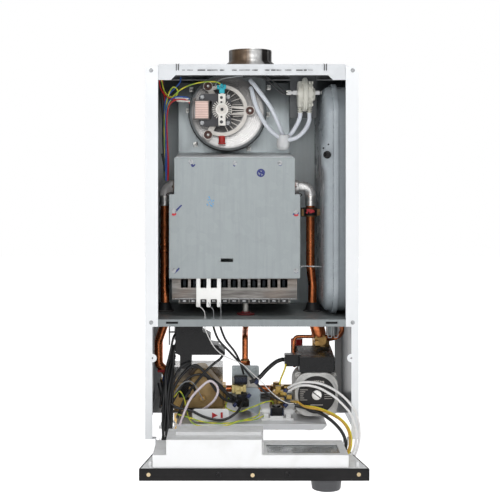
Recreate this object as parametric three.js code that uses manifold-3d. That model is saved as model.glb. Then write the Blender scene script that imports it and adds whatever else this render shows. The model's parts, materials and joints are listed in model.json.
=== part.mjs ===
// A wall-hung combination gas boiler, with its front cover off and its control panel swung open.
// Lengths are in millimetres. X runs right, Y runs back to the wall and Z runs up.
// Heights are counted from the lower edge of the casing, and depths from the wall. The whole
// boiler is then lowered, so that the origin lies on the wall behind its hanging rail.
import * as THREE from 'three';
import { mergeVertices } from 'three/addons/utils/BufferGeometryUtils.js';
import Module from 'manifold-3d';

const wasm = await Module();
wasm.setup();

// Clearances shared by every piece
const seat = 0.3;
const overrun = 2;
const sheet = 1.2;

// Casing
const casingWidth = 400;
const casingHeight = 698;
const casingDepth = 280;
const flangeWidth = 24.5;
const lowerFlangeWidth = 14;
const rearFlangeWidth = 16;
const lugHeight = 152;
const lugRadius = 8;
const lugHoleRadius = 1.8;
const topRise = 4;
const topCornerInset = 20.5;
const topLipDepth = 16.7;
const gussetWidth = 46.7;
const gussetDrop = 9;
const hookPairInset = 62;
const hookPairShift = 1;
const hookPairGap = 6.5;
const hookWidth = 1.6;
const hookHalfHeight = 5.3;
const hookReach = 1.5;
const floorLipDepth = 13.4;
const lipSlotInset = 50.5;
const lipSlotWidth = 22.4;
const lipSlotHeight = 4;
const lipSlotDrop = 4.2;
const wallGap = 8;
const hangDrop = 48;
const hangRailWidth = 300;
const hangRailHeight = 40;
const hangSlotX = 110;
const hangSlotWidth = 30;
const hangSlotHeight = 10;
const lowerRailHeight = 34;
const lowerRailFoot = 20;
const railHoleX = 120;
const railHoleRadius = 4;
const leadHoleX = [-88, -72, -58];
const leadHoleInset = 24;
const leadHoleRadius = 5;

// Connection plate and the pipe ends under it
const plateHeight = 21.7;
const plateSetback = 30;
const plateInset = 57;
const plateWingDepth = 150;
const plateLip = 11;
const plateCorner = 8;
const portLeftInset = 60;
const portRightInset = 80;
const portCount = 5;
const portDepth = 118;
const portDrop = 40;
const portBoreRadius = 7.5;
const portBoreDepth = 18;
const heatingPortRadius = 13.2;
const tapPortRadius = 10.4;
const portClearance = 2;

// Panel hinge
const hingeSetback = 8;
const hingeDrop = 6;
const hingePinRadius = 3;
const hingePinLength = 8;
const hingeCheekInset = 17.8;
const hingeCheekRadius = 7;
const hingeGauge = 1.5;
const hingeEarInset = 7.5;
const hingeEarRadius = 6;
const hingeEarFoot = 26;

// Control panel
const panelReach = 136;
const panelGap = 10;
const panelRearInset = 22.5;
const panelTop = -15;
const panelFace = -36.3;
const panelWall = 2.5;
const trayGauge = 1.5;
const postShift = 1;
const postWidth = 5;
const postSetback = 17;
const postLength = 14;
const postHeight = 9;
const coverLeftInset = 0.8;
const coverRightInset = 13.1;
const coverRearInset = 27;
const coverTop = 8;
const coverWall = 2;
const towerInset = 23.7;
const towerRightFront = 13.6;
const towerRightRear = 19;
const towerTop = 34.5;
const towerStepSetback = 38;
const towerCrown = 39.8;
const towerCrownInset = 15;
const towerRearInset = 24;
const windowGap = 5;
const windowInset = 13.4;
const windowFrontInset = 16;
const windowRearInset = 30;
const windowThickness = 2;
const windowRim = 4;
const boardDrop = 8;
const boardThickness = 1.6;
const boardPostRadius = 3;
const terminalInset = 6;
const terminalWidth = 48;
const terminalFrontInset = 6;
const terminalDepth = 20;
const terminalHeight = 5;
const knobInset = 48.9;
const knobSetback = 40;
const knobRadius = 28;
const knobFaceRadius = 25.5;
const knobLength = 24;
const knobShaftRadius = 4;
const knobShaftLength = 8;
const knobMarkWidth = 3;
const knobMarkDepth = 1;
const knobMarkLength = 16;

// Flue collar
const collarRadius = 43;
const collarWall = 1.5;
const collarHeight = 45;
const collarFootRadius = 62;
const collarFootHeight = 1.6;
const collarSkirtRadius = 56;
const collarSkirtHeight = 12;
const collarConeHeight = 22;
const collarBoreRadius = 30;
const collarBoreHeight = 8;

// Fan
const fanX = -56;
const fanDrop = 77;
const scrollOffset = 11;
const scrollDrop = 2;
const scrollRadius = 75.7;
const scrollDepth = 53;
const ductWidth = 60;
const ductTopGap = 12;
const spigotRadius = 27;
const spigotLength = 18;
const inletRadius = 40;
const scrollMouthRadius = 60;
const tapRadius = 3;
const tapBoreRadius = 1.5;
const tapLength = 8;
const tapDrops = [21, 6];
const frontPlateRadius = 72;
const frontPlateThickness = 2;
const shaftHoleRadius = 12;
const shaftRadius = 3;
const wheelRadius = 55;
const wheelInnerRadius = 43;
const wheelRimRadius = 56;
const wheelWidth = 36;
const wheelGap = 6;
const wheelDisc = 1.5;
const wheelHubRadius = 9;
const wheelHubLength = 12;
const bladeCount = 22;
const bladeThickness = 1.4;
const bladeLean = 0.17;
const bracketGap = 14;
const bracketThickness = 4;
const lobeCircleRadius = 55;
const lobeRadius = 9.5;
const lobePostRadius = 6;
const lobeAngles = [0, 2 * Math.PI / 3, -2 * Math.PI / 3];
const bracketRingRadius = 47;
const bracketRingWidth = 7;
const bracketHubRadius = 20;
const spokeWidth = 4;
const spokeSpread = 9;
const lobeArmWidth = 11;
const coreSize = 63;
const coreThickness = 18;
const coreCorner = 8;
const coreShiftX = -13.5;
const coreBoreRadius = 15.5;
const coreWindowWidth = 12;
const coreWindowHeight = 35;
const coreLimbWidth = 13;
const coilWidth = 27;
const coilHeight = 33;
const coilDepth = 30;
const rotorRadius = 14.5;
const coolingRadius = 18.5;
const coolingHubRadius = 12;
const coolingThickness = 4;
const coolingFinWidth = 1.8;
const coolingFinCount = 18;
const bridgeWidth = 14;
const bridgeLength = 61;
const bridgeThickness = 3;
const bridgeHubRadius = 12.5;
const bridgeHubRise = 2.5;
const bridgeFoot = 5;
const bridgeGap = 2;
const terminalTabRise = 9;
const terminalTabWidth = 6.3;
const terminalTabThickness = 0.8;

// Smoke hood and combustion group
const chamberX = -32;
const chamberRear = 45;
const hoodSideGap = 24.3;
const hoodPlateDepth = 110;
const hoodTopGap = 17;
const hoodShoulder = 13;
const hoodLip = 12;
const coverSetback = 30;
const chamberSideRoom = 151;
const coverStep = 19.5;
const coverLift = 74;
const hoodHeight = 153.7;
const coverUpperHeight = 69;
const coverFold = 14;
const coverSlotShift = -14.6;
const coverSlotRise = 34.7;
const coverSlotWidth = 23;
const coverSlotHeight = 6.6;
const boxWall = 1.5;
const finCount = 10;
const finThickness = 1.2;
const waterTubeRadius = 7;
const waterTubeRise = 13.7;
const waterTubeShares = [0.246, 0.516, 0.786];

// Burner
const burnerSideGap = 10;
const burnerSetback = 12;
const burnerRearGap = 17;
const burnerWindowCount = 11;
const burnerPitchShare = 0.0795;
const burnerEdge = 23.8;
const burnerWindowShare = 0.726;
const burnerWindowHeight = 16.5;
const burnerWindowGap = 1.8;
const burnerFaceHeight = 41;
const burnerBaseHeight = 21;
const burnerTabHeight = 7;
const burnerTabShare = 0.737;
const burnerPlate = 1.2;
const burnerBarShare = 0.263;
const burnerBarSetback = 6;
const burnerBarRise = 15;
const gasManifoldInset = 11.5;
const gasManifoldSetback = 33;
const gasManifoldRadius = 5.5;
const gasManifoldDrop = 6;
const gasFlangeRadius = 12;
const gasFlangeHeight = 3;
const nozzleRadius = 3;
const electrodeShift = -49.4;
const electrodeWidth = 47.4;
const electrodeThickness = 7;
const electrodeBarHeight = 21.5;
const electrodeBarRise = 1.3;
const electrodeProngWidth = 8;
const electrodeProngAbove = 23.7;
const electrodeProngBelow = 15;

// Water side of the chamber
const leftPipeInset = 30;
const rightPipeGap = 13;
const pipeRadius = 8.5;
const elbowRadius = 10;
const elbowBend = 16;
const elbowDrop = 18;
const socketRadius = 13;
const socketLength = 9;
const elbowGap = 6;
const unionRadius = 11;
const unionLength = 20;
const pipeBend = 16;
const beadRadius = 10.5;
const beadLength = 6;
const beadDrop = 74;
const floorPipeHole = 11;
const jogTopShare = 0.427;
const jogBottomShare = 0.244;
const jogShift = 4;
const clipDrop = 3;
const clipHeight = 18;
const clipRadius = 13;
const clipLeft = 19;
const clipDepth = 14;

// Expansion vessel
const vesselWidth = 65.5;
const vesselDrop = 32;
const vesselSetback = 28;
const vesselRear = 14;
const vesselCorner = 60;
const vesselEdge = 14;
const bandInset = 22;
const bandWidth = 10;
const bandProud = 6;
const valveBossInset = 11;
const valveBossDrop = 133;
const valveBossRadius = 6;
const valveBossLength = 12;
const vesselPipeInset = 12.5;
const vesselPipeDepth = 124;
const vesselPipeRadius = 4.5;
const vesselPipeHole = 6.5;
const vesselPipeBend = 14;

// Air pressure switch
const switchGap = 28;
const switchDepth = 200;
const switchDrop = 47;
const switchRadius = 33;
const switchBodyRadius = 26;
const switchThickness = 29;
const switchHubRadius = 12;
const switchHubLength = 5;
const switchRimHalf = 3.5;
const switchPortSpread = 9.1;
const switchPortRadius = 3;
const switchPortDrop = 34;
const switchBracketReach = 27;
const switchBracketGap = 2;
const switchBracketDrop = 44;
const switchBracketFoot = 34;
const hoseRadius = 4.2;
const capsuleShare = 0.603;
const capsuleDepthShare = 0.648;
const capsuleDrop = 78;
const capsuleRadius = 12.6;
const capsuleLength = 31;
const capsuleNose = 8;

// Pump
const pumpInset = 74;
const pumpClearance = 8.3;
const pumpFront = 222;
const pumpRear = 128;
const pumpHalfWidth = 42;
const returnRise = 54;
const pumpCorner = 26;
const pumpLabelRadius = 36;
const pumpLabelRise = 1.5;
const pumpScrewRadius = 9.6;
const pumpScrewRise = 4;
const pumpScrewSlot = 2;
const housingRadius = 38;
const housingRear = 70;
const housingFlange = 8;
const housingFlangeRadius = 40;
const housingFootHeight = 40;
const terminalBoxReach = 33;
const terminalBoxWidth = 69;
const terminalBoxSlope = 10;
const terminalBoxGap = 3;
const terminalBoxFront = 218;
const terminalBoxRear = 136;
const terminalBoxEdge = 2.5;
const plugWidth = 27;
const plugHeight = 23;
const plugDrop = 7;
const plugFront = 206;
const plugRear = 180;

// Return manifold, safety valve and relief tube
const returnShift = 13;
const returnDrop = 56;
const returnRadius = 12;
const returnFrontReach = 12;
const returnRear = 86;
const returnNeckRise = 16;
const returnNeckRadius = 11.5;
const returnLegDepth = 98;
const returnLegRadius = 11;
const returnLegRise = 40;
const returnPlugShift = 8;
const returnPlugRadius = 5;
const returnPlugLength = 10;
const reliefReach = 30;
const reliefDepth = 104;
const reliefRadius = 12;
const reliefLength = 16;
const reliefDrop = 20;
const reliefCapHeight = 14;
const reliefCapRadius = 11;
const reliefGripRadius = 2;
const reliefGripCount = 8;
const reliefStemRadius = 3.5;
const reliefArmRadius = 7;
const reliefArmDrop = 10;
const tubeRadius = 3.5;
const tubeBend = 9;
const tubeClearance = 1.5;
const tubeKneeDrop = 56;
const tubeJogHeight = 3.5;
const tubeRearGap = 8.5;
const tubeRearShift = 17;

// Gas line
const gasValveWidth = 52;
const gasValveTop = 112;
const gasValveBottom = 42;
const gasValveFront = 186;
const gasValveRear = 130;
const gasValveEdge = 3;
const gasInletWidth = 28;
const gasInletRear = 104;
const gasInletFront = 160;
const gasInletBottom = 30;
const gasCoilInset = 4;
const gasCoilWidth = 25;
const gasCoilTop = 103;
const gasCoilBottom = 88;
const gasCoilFront = 202;
const gasCoilEdge = 2;
const plugGap = 0.6;
const valvePlugInset = 1.5;
const valvePlugWidth = 28;
const valvePlugHeight = 18;
const valvePlugLength = 17;
const valveSocketInset = 9;
const valveSocketWidth = 21;
const valveSocketFoot = 44;
const valveSocketLength = 20;
const valvePlugEdge = 1.5;
const pumpLeadShift = 8;
const gasPipeRadius = 6;
const gasPipeBend = 18;
const gasPipeJogTop = 204;
const gasPipeJogBottom = 178;
const gasUnionRadius = 10.5;
const gasUnionHeight = 13;

// Left water group
const blockInset = 22;
const blockGap = 12;
const blockTop = 74;
const blockBottom = 32;
const blockFront = 142;
const blockRear = 100;
const blockEdge = 3;
const bossInset = 32;
const bossRadius = 13;
const bossHeight = 10;
const leftPipeLowInset = 16;
const leftPipeJogTop = 200;
const leftPipeJogBottom = 160;
const leftPipeKnee = 112;
const leftPipeFoot = 97;
const domeInset = 4;
const domeWidth = 74;
const domeBottom = 42;
const domeHeight = 78;
const domeFront = 206;
const domeEdge = 3;
const domeShares = [[0, 0], [0, 0.3], [0.12, 0.76], [0.28, 1], [0.5, 1], [0.94, 0.52], [1, 0.34], [1, 0]];
const exchangerInset = 6;
const exchangerWidth = 118;
const exchangerBottom = 30;
const exchangerTop = 104;
const exchangerRear = 26;
const exchangerPlates = 9;
const exchangerGroove = 2;
const crossoverHeight = 63;
const crossoverRadius = 7;
const inletBodyRadius = 14;
const inletTop = 70;
const inletCollarRadius = 17;
const inletCollarBottom = 24;
const inletCollarHeight = 9;
const inletCapRadius = 9;
const inletCapHeight = 6;
const fillHeight = 64;
const fillRadius = 6;
const fillDepth = 109;

// Ignition box
const ignitionInset = 54;
const ignitionWidth = 96;
const ignitionBottom = 121;
const ignitionFront = 218;
const ignitionRear = 162;
const ignitionShares = [
  [0, 1], [0, 0.29], [0.094, 0.25], [0.094, 0], [0.32, 0], [0.33, 0.26], [1, 0.26], [1, 0.31],
  [0.875, 0.4], [0.875, 0.44], [0.71, 0.46], [0.71, 0.62], [0.55, 0.7], [0.55, 1],
];

// Leads, by their radius and the route they were laid along. A route's points are given as shares
// of the way from its start to its end, in X, depth and height.
const harnessRadius = 10;
const harnessLift = 11.5;
const harnessInset = 16.7;
const harnessTop = 150;
const harnessSetback = 6;
const harnessShares = [
  [0, 0.083, 0], [0.147, 0.274, 0.062], [0, 0.503, 0.218], [-0.294, 0.694, 0.427],
  [0, 0.809, 0.622], [0.588, 0.904, 0.805], [1, 0.981, 0.948],
];
const hoseShares = [
  [
    [0.006, 0.19, 0.021], [0.025, 0.331, 0.207], [0.064, 0.472, 0.58], [0.135, 0.613, 0.994],
    [0.228, 0.718, 1.398], [0.333, 0.806, 1.718], [0.435, 0.824, 1.925], [0.541, 0.824, 2.06],
    [0.69, 0.824, 2.091], [0.823, 0.842, 1.957], [0.942, 0.894, 1.656], [0.995, 0.965, 1.346],
  ],
  [
    [0.014, 0.19, 0.039], [0.056, 0.313, 0.111], [0.129, 0.384, 0.261], [0.271, 0.437, 0.545],
    [0.402, 0.472, 0.829], [0.502, 0.489, 1.13], [0.586, 0.489, 1.422], [0.639, 0.489, 1.643],
    [0.702, 0.489, 1.769], [0.786, 0.507, 1.714], [0.875, 0.648, 1.548], [0.959, 0.894, 1.311],
  ],
];
const pumpLeadRadius = 4;
const pumpLeadProud = 9;
const pumpLeadShares = [
  [0.084, 0.056, 0.002], [0.261, 0.278, 0.111], [0.513, 0.667, 0.432], [0.69, 0.917, 0.728],
  [0.823, 1, 0.901],
];

const casingHalf = casingWidth / 2;
const innerHalf = casingHalf - sheet;
const pumpHeight = plateHeight + pumpClearance + pumpHalfWidth;
const returnHeight = pumpHeight + pumpHalfWidth + returnRise;
const returnLegFoot = pumpHeight + returnLegRise;
const floorHeight = returnHeight + returnDrop;
const chamberHalf = innerHalf - seat;
const topCornerX = chamberHalf - topCornerInset;
const hookPairX = casingHalf - hookPairInset;
const lipSlotX = casingHalf - lipSlotInset;
const leadHoleDepth = casingDepth - leadHoleInset;
const plateFront = casingDepth - plateSetback;
const plateHalfWidth = casingHalf - plateInset;
const topUnderside = casingHeight - sheet;
const faceRear = casingDepth - sheet;
const floorFront = faceRear - seat;
const floorFoot = floorHeight - floorLipDepth;
const backFace = wallGap + sheet;
const hangHeight = casingHeight - hangDrop;
const fanHeight = casingHeight - fanDrop;
const scrollX = fanX + scrollOffset;
const scrollHeight = fanHeight - scrollDrop;
const ductTop = casingHeight - ductTopGap;
const flueX = scrollX + scrollRadius - ductWidth / 2;
const scrollRear = hoodPlateDepth + seat;
const scrollFront = scrollRear + scrollDepth;
const flueDepth = (scrollRear + scrollFront) / 2;
const wheelRear = scrollRear + sheet + wheelGap;
const wheelFront = wheelRear + wheelWidth;
const plateFace = scrollFront + seat + frontPlateThickness;
const bracketRear = plateFace + bracketGap;
const bracketFront = bracketRear + bracketThickness;
const coreRear = bracketFront + seat;
const coreFront = coreRear + coreThickness;
const coreX = fanX + coreShiftX;
const coreLeft = coreX - coreSize / 2;
const coolingRear = coreFront + bridgeGap;
const coolingFront = coolingRear + coolingThickness;
const bridgeRear = coolingFront + bridgeGap;
const bridgeFront = bridgeRear + bridgeThickness;
const coverFaceDepth = casingDepth - coverSetback;
const coverWidth = casingWidth - chamberSideRoom;
const coverUpperWidth = coverWidth - coverStep;
const hoodWidth = coverWidth - hoodSideGap;
const burnerTop = floorHeight + coverLift - seat;
const coverBottom = floorHeight + coverLift;
const hoodTop = casingHeight - hoodTopGap;
const hoodBase = hoodTop - hoodHeight;
const exchangerBase = hoodBase - seat - coverUpperHeight;
const coverInner = coverFaceDepth - sheet - seat;
const boxHalf = coverWidth / 2 - sheet - seat;
const frameHalf = coverUpperWidth / 2 - sheet - seat;
const waterHeight = exchangerBase + waterTubeRise;
const waterTubeDepths = waterTubeShares.map((share) =>
  chamberRear + share * (coverInner - chamberRear));
const waterDepth = waterTubeDepths[1];
const burnerFoot = burnerTop - burnerFaceHeight;
const burnerWidth = coverWidth - burnerSideGap;
const burnerFaceDepth = coverFaceDepth - burnerSetback;
const burnerRear = chamberRear + burnerRearGap;
const burnerPitch = burnerWidth * burnerPitchShare;
const burnerWindowWidth = burnerPitch * burnerWindowShare;
const burnerTabWidth = burnerPitch * burnerTabShare;
const burnerBarWidth = burnerPitch * burnerBarShare;
const burnerFirstX = chamberX - burnerWidth / 2 + burnerEdge;
const gasManifoldLeft = chamberX - burnerWidth / 2 + gasManifoldInset;
const gasManifoldRight = chamberX + burnerWidth / 2 - gasManifoldInset;
const gasManifoldDepth = burnerFaceDepth - gasManifoldSetback;
const gasManifoldHeight = burnerFoot - gasManifoldDrop;
const unionTop = waterHeight - elbowDrop - seat;
const pipeTop = unionTop - unionLength - seat;
const vesselBottom = floorHeight + seat + bandProud;
const vesselRight = innerHalf - seat;
const vesselLeft = vesselRight - vesselWidth;
const vesselFront = casingDepth - vesselSetback;
const vesselTop = casingHeight - vesselDrop;
const valveBossHeight = vesselTop - valveBossDrop;
const bandLeft = vesselLeft + bandInset;
const valveBossX = vesselLeft + valveBossInset;
const vesselPipeX = vesselRight - vesselPipeInset;
const leftPipeX = leftPipeInset - casingHalf;
const rightPipeX = vesselLeft - rightPipeGap;
const lowerPipeX = rightPipeX + jogShift;
const switchX = vesselLeft - switchGap;
const switchHeight = casingHeight - switchDrop;
const switchPortFoot = switchHeight - switchPortDrop;
const switchBracketBottom = switchHeight - switchBracketDrop;
const capsuleTop = switchHeight - capsuleDrop;
const switchBracketLeft = switchX - switchBracketReach;
const switchBracketRight = vesselLeft - switchBracketGap;
const capsuleX = flueX + capsuleShare * (switchX - flueX);
const tapFront = scrollFront + tapLength + seat;
const capsuleDepth = tapFront + capsuleDepthShare * (switchDepth - tapFront);
const hinge = -hingeDrop;
const hingeDepth = casingDepth - hingeSetback;
const hingeCheekX = innerHalf - hingeCheekInset;
const hingeEarX = hingeCheekX - hingeEarInset;
const portBottom = plateHeight - portDrop;
const portRow = casingWidth - portLeftInset - portRightInset;
const portX = Array.from({ length: portCount }, (_, i) =>
  portLeftInset - casingHalf + (i * portRow) / (portCount - 1));
const [flowX, tapX, gasX, coldX, returnPortX] = portX;
const pumpX = casingHalf - pumpInset;
const returnFront = waterDepth + returnFrontReach;
const returnNeckTop = returnHeight + returnNeckRise;
const reliefTop = returnHeight - reliefDrop;
const reliefFoot = reliefTop - reliefLength;
const reliefArmHeight = reliefFoot - reliefArmDrop;
const returnX = pumpX + returnShift;
const returnPlugX = returnX - returnPlugShift;
const reliefX = pumpX - reliefReach;
const terminalBoxLeft = pumpX - terminalBoxReach;
const terminalBoxRight = terminalBoxLeft + terminalBoxWidth;
const tubeX = terminalBoxLeft - tubeRadius - tubeClearance;
const tubeLowX = tubeX + tubeRearShift;
const tubeDepth = portDepth + inletCollarRadius + tubeRadius + tubeClearance;
const tubeRear = housingRear - tubeRadius - tubeRearGap;
const tubeKnee = returnHeight - tubeKneeDrop;
const tubeJogBottom = tubeKnee - tubeJogHeight;
const gasPipeX = gasX;
const gasValveLeft = gasX - gasValveWidth / 2;
const gasValveRight = gasX + gasValveWidth / 2;
const gasInletLeft = gasX - gasInletWidth / 2;
const gasInletRight = gasX + gasInletWidth / 2;
const gasCoilLeft = gasValveLeft + gasCoilInset;
const gasCoilRight = gasCoilLeft + gasCoilWidth;
const valvePlugLeft = gasValveLeft - valvePlugInset;
const valvePlugTop = gasCoilBottom - plugGap;
const valveSocketLeft = gasValveLeft + valveSocketInset;
const blockLeft = blockInset - casingHalf;
const blockRight = gasValveLeft - blockGap;
const bossX = bossInset - casingHalf;
const leftPipeLowX = leftPipeLowInset - casingHalf;
const domeLeft = blockRight - domeInset - domeWidth;
const ignitionLeft = ignitionInset - casingHalf;
const terminalBoxBottom = pumpHeight + pumpHalfWidth + seat;
const terminalBoxRearTop = returnHeight - returnRadius - terminalBoxGap;
const terminalBoxFrontTop = terminalBoxRearTop - terminalBoxSlope;
const plugTop = terminalBoxRearTop - plugDrop;
const plugBottom = plugTop - plugHeight;
const housingFront = pumpRear - seat;
const exchangerFront = blockRear - seat;
const exchangerLeft = blockLeft + exchangerInset;
const exchangerRight = exchangerLeft + exchangerWidth;
const ignitionTop = floorHeight - sheet - seat;
const panelRear = casingDepth + panelGap;
const panelFront = panelRear + panelReach;
const panelRearHalfWidth = casingHalf - panelRearInset;
const postLeft = panelRearHalfWidth + postShift;
const postDepth = panelFront - postSetback;
const coverLeft = coverLeftInset - panelRearHalfWidth;
const coverRight = panelRearHalfWidth - coverRightInset;
const coverRear = panelRear + coverRearInset;
const towerLeft = coverLeft + towerInset;
const towerStep = panelFront - towerStepSetback;
const towerCrownLeft = towerLeft + towerCrownInset;
const towerRear = coverRear + towerRearInset;
const windowLeft = towerRightRear + windowGap;
const windowRight = coverRight - windowInset;
const windowFront = panelFront - windowFrontInset;
const windowRear = coverRear + windowRearInset;
const terminalLeft = windowLeft + terminalInset;
const terminalFront = windowFront - terminalFrontInset;
const knobX = panelRearHalfWidth - knobInset;
const knobDepth = panelFront - knobSetback;

// Basic solids

function signedVolume(position, triangles) {
  const [a, b, c] = [new THREE.Vector3(), new THREE.Vector3(), new THREE.Vector3()];
  let sum = 0;
  for (const [i, j, k] of triangles) {
    a.fromBufferAttribute(position, i);
    b.fromBufferAttribute(position, j);
    c.fromBufferAttribute(position, k);
    sum += a.dot(b.cross(c));
  }
  return sum;
}

function solid(source) {
  source.deleteAttribute('normal');
  source.deleteAttribute('uv');
  const merged = mergeVertices(source);
  const position = merged.getAttribute('position');
  const triangles = [];
  for (let i = 0; i < merged.index.count; i += 3) {
    const corners = [0, 1, 2].map((k) => merged.index.getX(i + k));
    if (new Set(corners).size === 3) triangles.push(corners);
  }
  const outward = signedVolume(position, triangles) > 0;
  const faces = outward ? triangles : triangles.map(([i, j, k]) => [i, k, j]);
  return new wasm.Manifold(new wasm.Mesh({
    numProp: 3,
    vertProperties: new Float32Array(position.array),
    triVerts: new Uint32Array(faces.flat()),
  }));
}

function join(...solids) {
  return solids.reduce((whole, next) => whole.add(next));
}

function cut(base, ...tools) {
  return tools.reduce((rest, tool) => rest.subtract(tool), base);
}

function block(left, right, rear, front, bottom, top) {
  const box = new THREE.BoxGeometry(right - left, front - rear, top - bottom);
  box.translate((left + right) / 2, -(rear + front) / 2, (bottom + top) / 2);
  return solid(box);
}

// Where a point lies, given by its place along an axis and its two others, with Y as a depth
function placed(axis, u, v, along) {
  return { x: [along, -u, v], y: [u, -along, v], z: [u, -v, along] }[axis];
}

function turnedTo(axis, source) {
  if (axis === 'x') source.rotateZ(-Math.PI / 2);
  if (axis === 'y') source.rotateX(Math.PI);
  if (axis === 'z') source.rotateX(Math.PI / 2);
  return source;
}

function rod(axis, [u, v], from, to, radius, sides = 20, endRadius = radius) {
  const source = new THREE.CylinderGeometry(endRadius, radius, to - from, sides);
  return solid(turnedTo(axis, source).translate(...placed(axis, u, v, (from + to) / 2)));
}

function turned(axis, [u, v], profile, sides = 24) {
  const points = profile.map(([radius, along]) => new THREE.Vector2(radius, along));
  const source = new THREE.LatheGeometry(points, sides);
  return solid(turnedTo(axis, source).translate(...placed(axis, u, v, 0)));
}

function outline(points) {
  return new THREE.Shape(points.map(([a, b]) => new THREE.Vector2(a, b)));
}

function rounded(left, right, bottom, top, radius) {
  const shape = new THREE.Shape();
  shape.absarc(right - radius, bottom + radius, radius, -Math.PI / 2, 0);
  shape.absarc(right - radius, top - radius, radius, 0, Math.PI / 2);
  shape.absarc(left + radius, top - radius, radius, Math.PI / 2, Math.PI);
  shape.absarc(left + radius, bottom + radius, radius, Math.PI, 1.5 * Math.PI);
  return shape;
}

function circle(a, b, radius) {
  return new THREE.Shape().absarc(a, b, radius, 0, 2 * Math.PI);
}

// An outline in the plane across an axis, drawn out along that axis
function prism(axis, shape, from, to, { segments = 5, bevel = 0, bevelSegments = 2 } = {}) {
  const source = new THREE.ExtrudeGeometry(shape, {
    depth: to - from - 2 * bevel,
    curveSegments: segments,
    bevelEnabled: bevel > 0,
    bevelSize: bevel,
    bevelThickness: bevel,
    bevelOffset: -bevel,
    bevelSegments,
  });
  source.translate(0, 0, bevel);
  const [across, back, up] = [new THREE.Vector3(1, 0, 0), new THREE.Vector3(0, -1, 0),
    new THREE.Vector3(0, 0, 1)];
  const turn = new THREE.Matrix4();
  if (axis === 'x') turn.makeBasis(back, up, across);
  if (axis === 'y') turn.makeBasis(across, up, back);
  if (axis === 'z') turn.makeBasis(across, back, up);
  source.applyMatrix4(turn).translate(...placed(axis, 0, 0, from));
  return solid(source);
}

// The stations of a pipe: its ends, and a few on each bend
class PipeRoute extends THREE.Curve {
  constructor(stations) {
    super();
    this.stations = stations;
  }

  station(u) {
    return this.stations[Math.round(u * (this.stations.length - 1))];
  }

  getPointAt(u, target = new THREE.Vector3()) {
    return target.copy(this.station(u).point);
  }

  getTangentAt(u, target = new THREE.Vector3()) {
    return target.copy(this.station(u).tangent);
  }
}

function bendStations(before, corner, after, bend, steps) {
  const incoming = corner.clone().sub(before).normalize();
  const outgoing = after.clone().sub(corner).normalize();
  const angle = incoming.angleTo(outgoing);
  const axis = incoming.clone().cross(outgoing).normalize();
  const inward = axis.clone().cross(incoming);
  const start = corner.clone().addScaledVector(incoming, -bend * Math.tan(angle / 2));
  const centre = start.clone().addScaledVector(inward, bend);
  return Array.from({ length: steps + 1 }, (_, i) => {
    const turn = new THREE.Quaternion().setFromAxisAngle(axis, (angle * i) / steps);
    const arm = inward.clone().multiplyScalar(-bend).applyQuaternion(turn);
    return { point: centre.clone().add(arm), tangent: incoming.clone().applyQuaternion(turn) };
  });
}

function section(radius, sides) {
  return outline(Array.from({ length: sides }, (_, i) => {
    const angle = (2 * Math.PI * i) / sides;
    return [radius * Math.cos(angle), radius * Math.sin(angle)];
  }));
}

// A pipe through corners given as X, depth and height
function pipe(corners, radius, bend, { sides = 12, steps = 4 } = {}) {
  const points = corners.map(([x, depth, height]) => new THREE.Vector3(x, -depth, height));
  const stations = points.slice(1, -1).flatMap((corner, i) =>
    bendStations(points[i], corner, points[i + 2], bend, steps));
  const first = points[1].clone().sub(points[0]).normalize();
  const last = points.at(-1).clone().sub(points.at(-2)).normalize();
  stations.unshift({ point: points[0], tangent: first });
  stations.push({ point: points.at(-1), tangent: last });
  const extrudePath = new PipeRoute(stations);
  const spans = stations.length - 1;
  return solid(new THREE.ExtrudeGeometry(section(radius, sides), { steps: spans, extrudePath }));
}

function lead(route, radius, steps, sides = 8) {
  const points = route.map(([x, depth, height]) => new THREE.Vector3(x, -depth, height));
  const extrudePath = new THREE.CatmullRomCurve3(points);
  return solid(new THREE.ExtrudeGeometry(section(radius, sides), { steps, extrudePath }));
}

// Points between two ends, by their shares of the way in X, depth and height
function between(start, end, shares) {
  return shares.map((row) => row.map((share, i) => start[i] + share * (end[i] - start[i])));
}

function mirrored(body) {
  const { vertProperties, triVerts } = body.getMesh();
  const source = new THREE.BufferGeometry();
  source.setAttribute('position', new THREE.BufferAttribute(vertProperties, 3));
  source.setIndex(new THREE.BufferAttribute(triVerts, 1));
  return solid(source.scale(-1, 1, 1));
}

function bothSides(make) {
  return [make(-1), make(1)];
}

// A flat bar in the plane across the depth, from one point to another
function bar([x0, z0], [x1, z1], width, rear, front) {
  const along = new THREE.Vector2(x1 - x0, z1 - z0).normalize();
  const [dx, dz] = [(-along.y * width) / 2, (along.x * width) / 2];
  const corners = [[x0 + dx, z0 + dz], [x0 - dx, z0 - dz], [x1 - dx, z1 - dz], [x1 + dx, z1 + dz]];
  return prism('y', outline(corners), rear, front);
}

function onCircle([x, z], radius, angle) {
  return [x + radius * Math.cos(angle), z + radius * Math.sin(angle)];
}

function part(name, body, { colour, roughness, metalness = 0, opacity = 1 }) {
  const { vertProperties, triVerts } = body.getMesh();
  const geometry = new THREE.BufferGeometry();
  geometry.setAttribute('position', new THREE.BufferAttribute(vertProperties, 3));
  geometry.setIndex(new THREE.BufferAttribute(triVerts, 1));
  geometry.computeVertexNormals();
  const transparent = opacity < 1;
  const material = new THREE.MeshStandardMaterial({
    color: colour, roughness, metalness, opacity, transparent,
  });
  const mesh = new THREE.Mesh(geometry, material);
  mesh.name = name;
  return mesh;
}

// Casing

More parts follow.
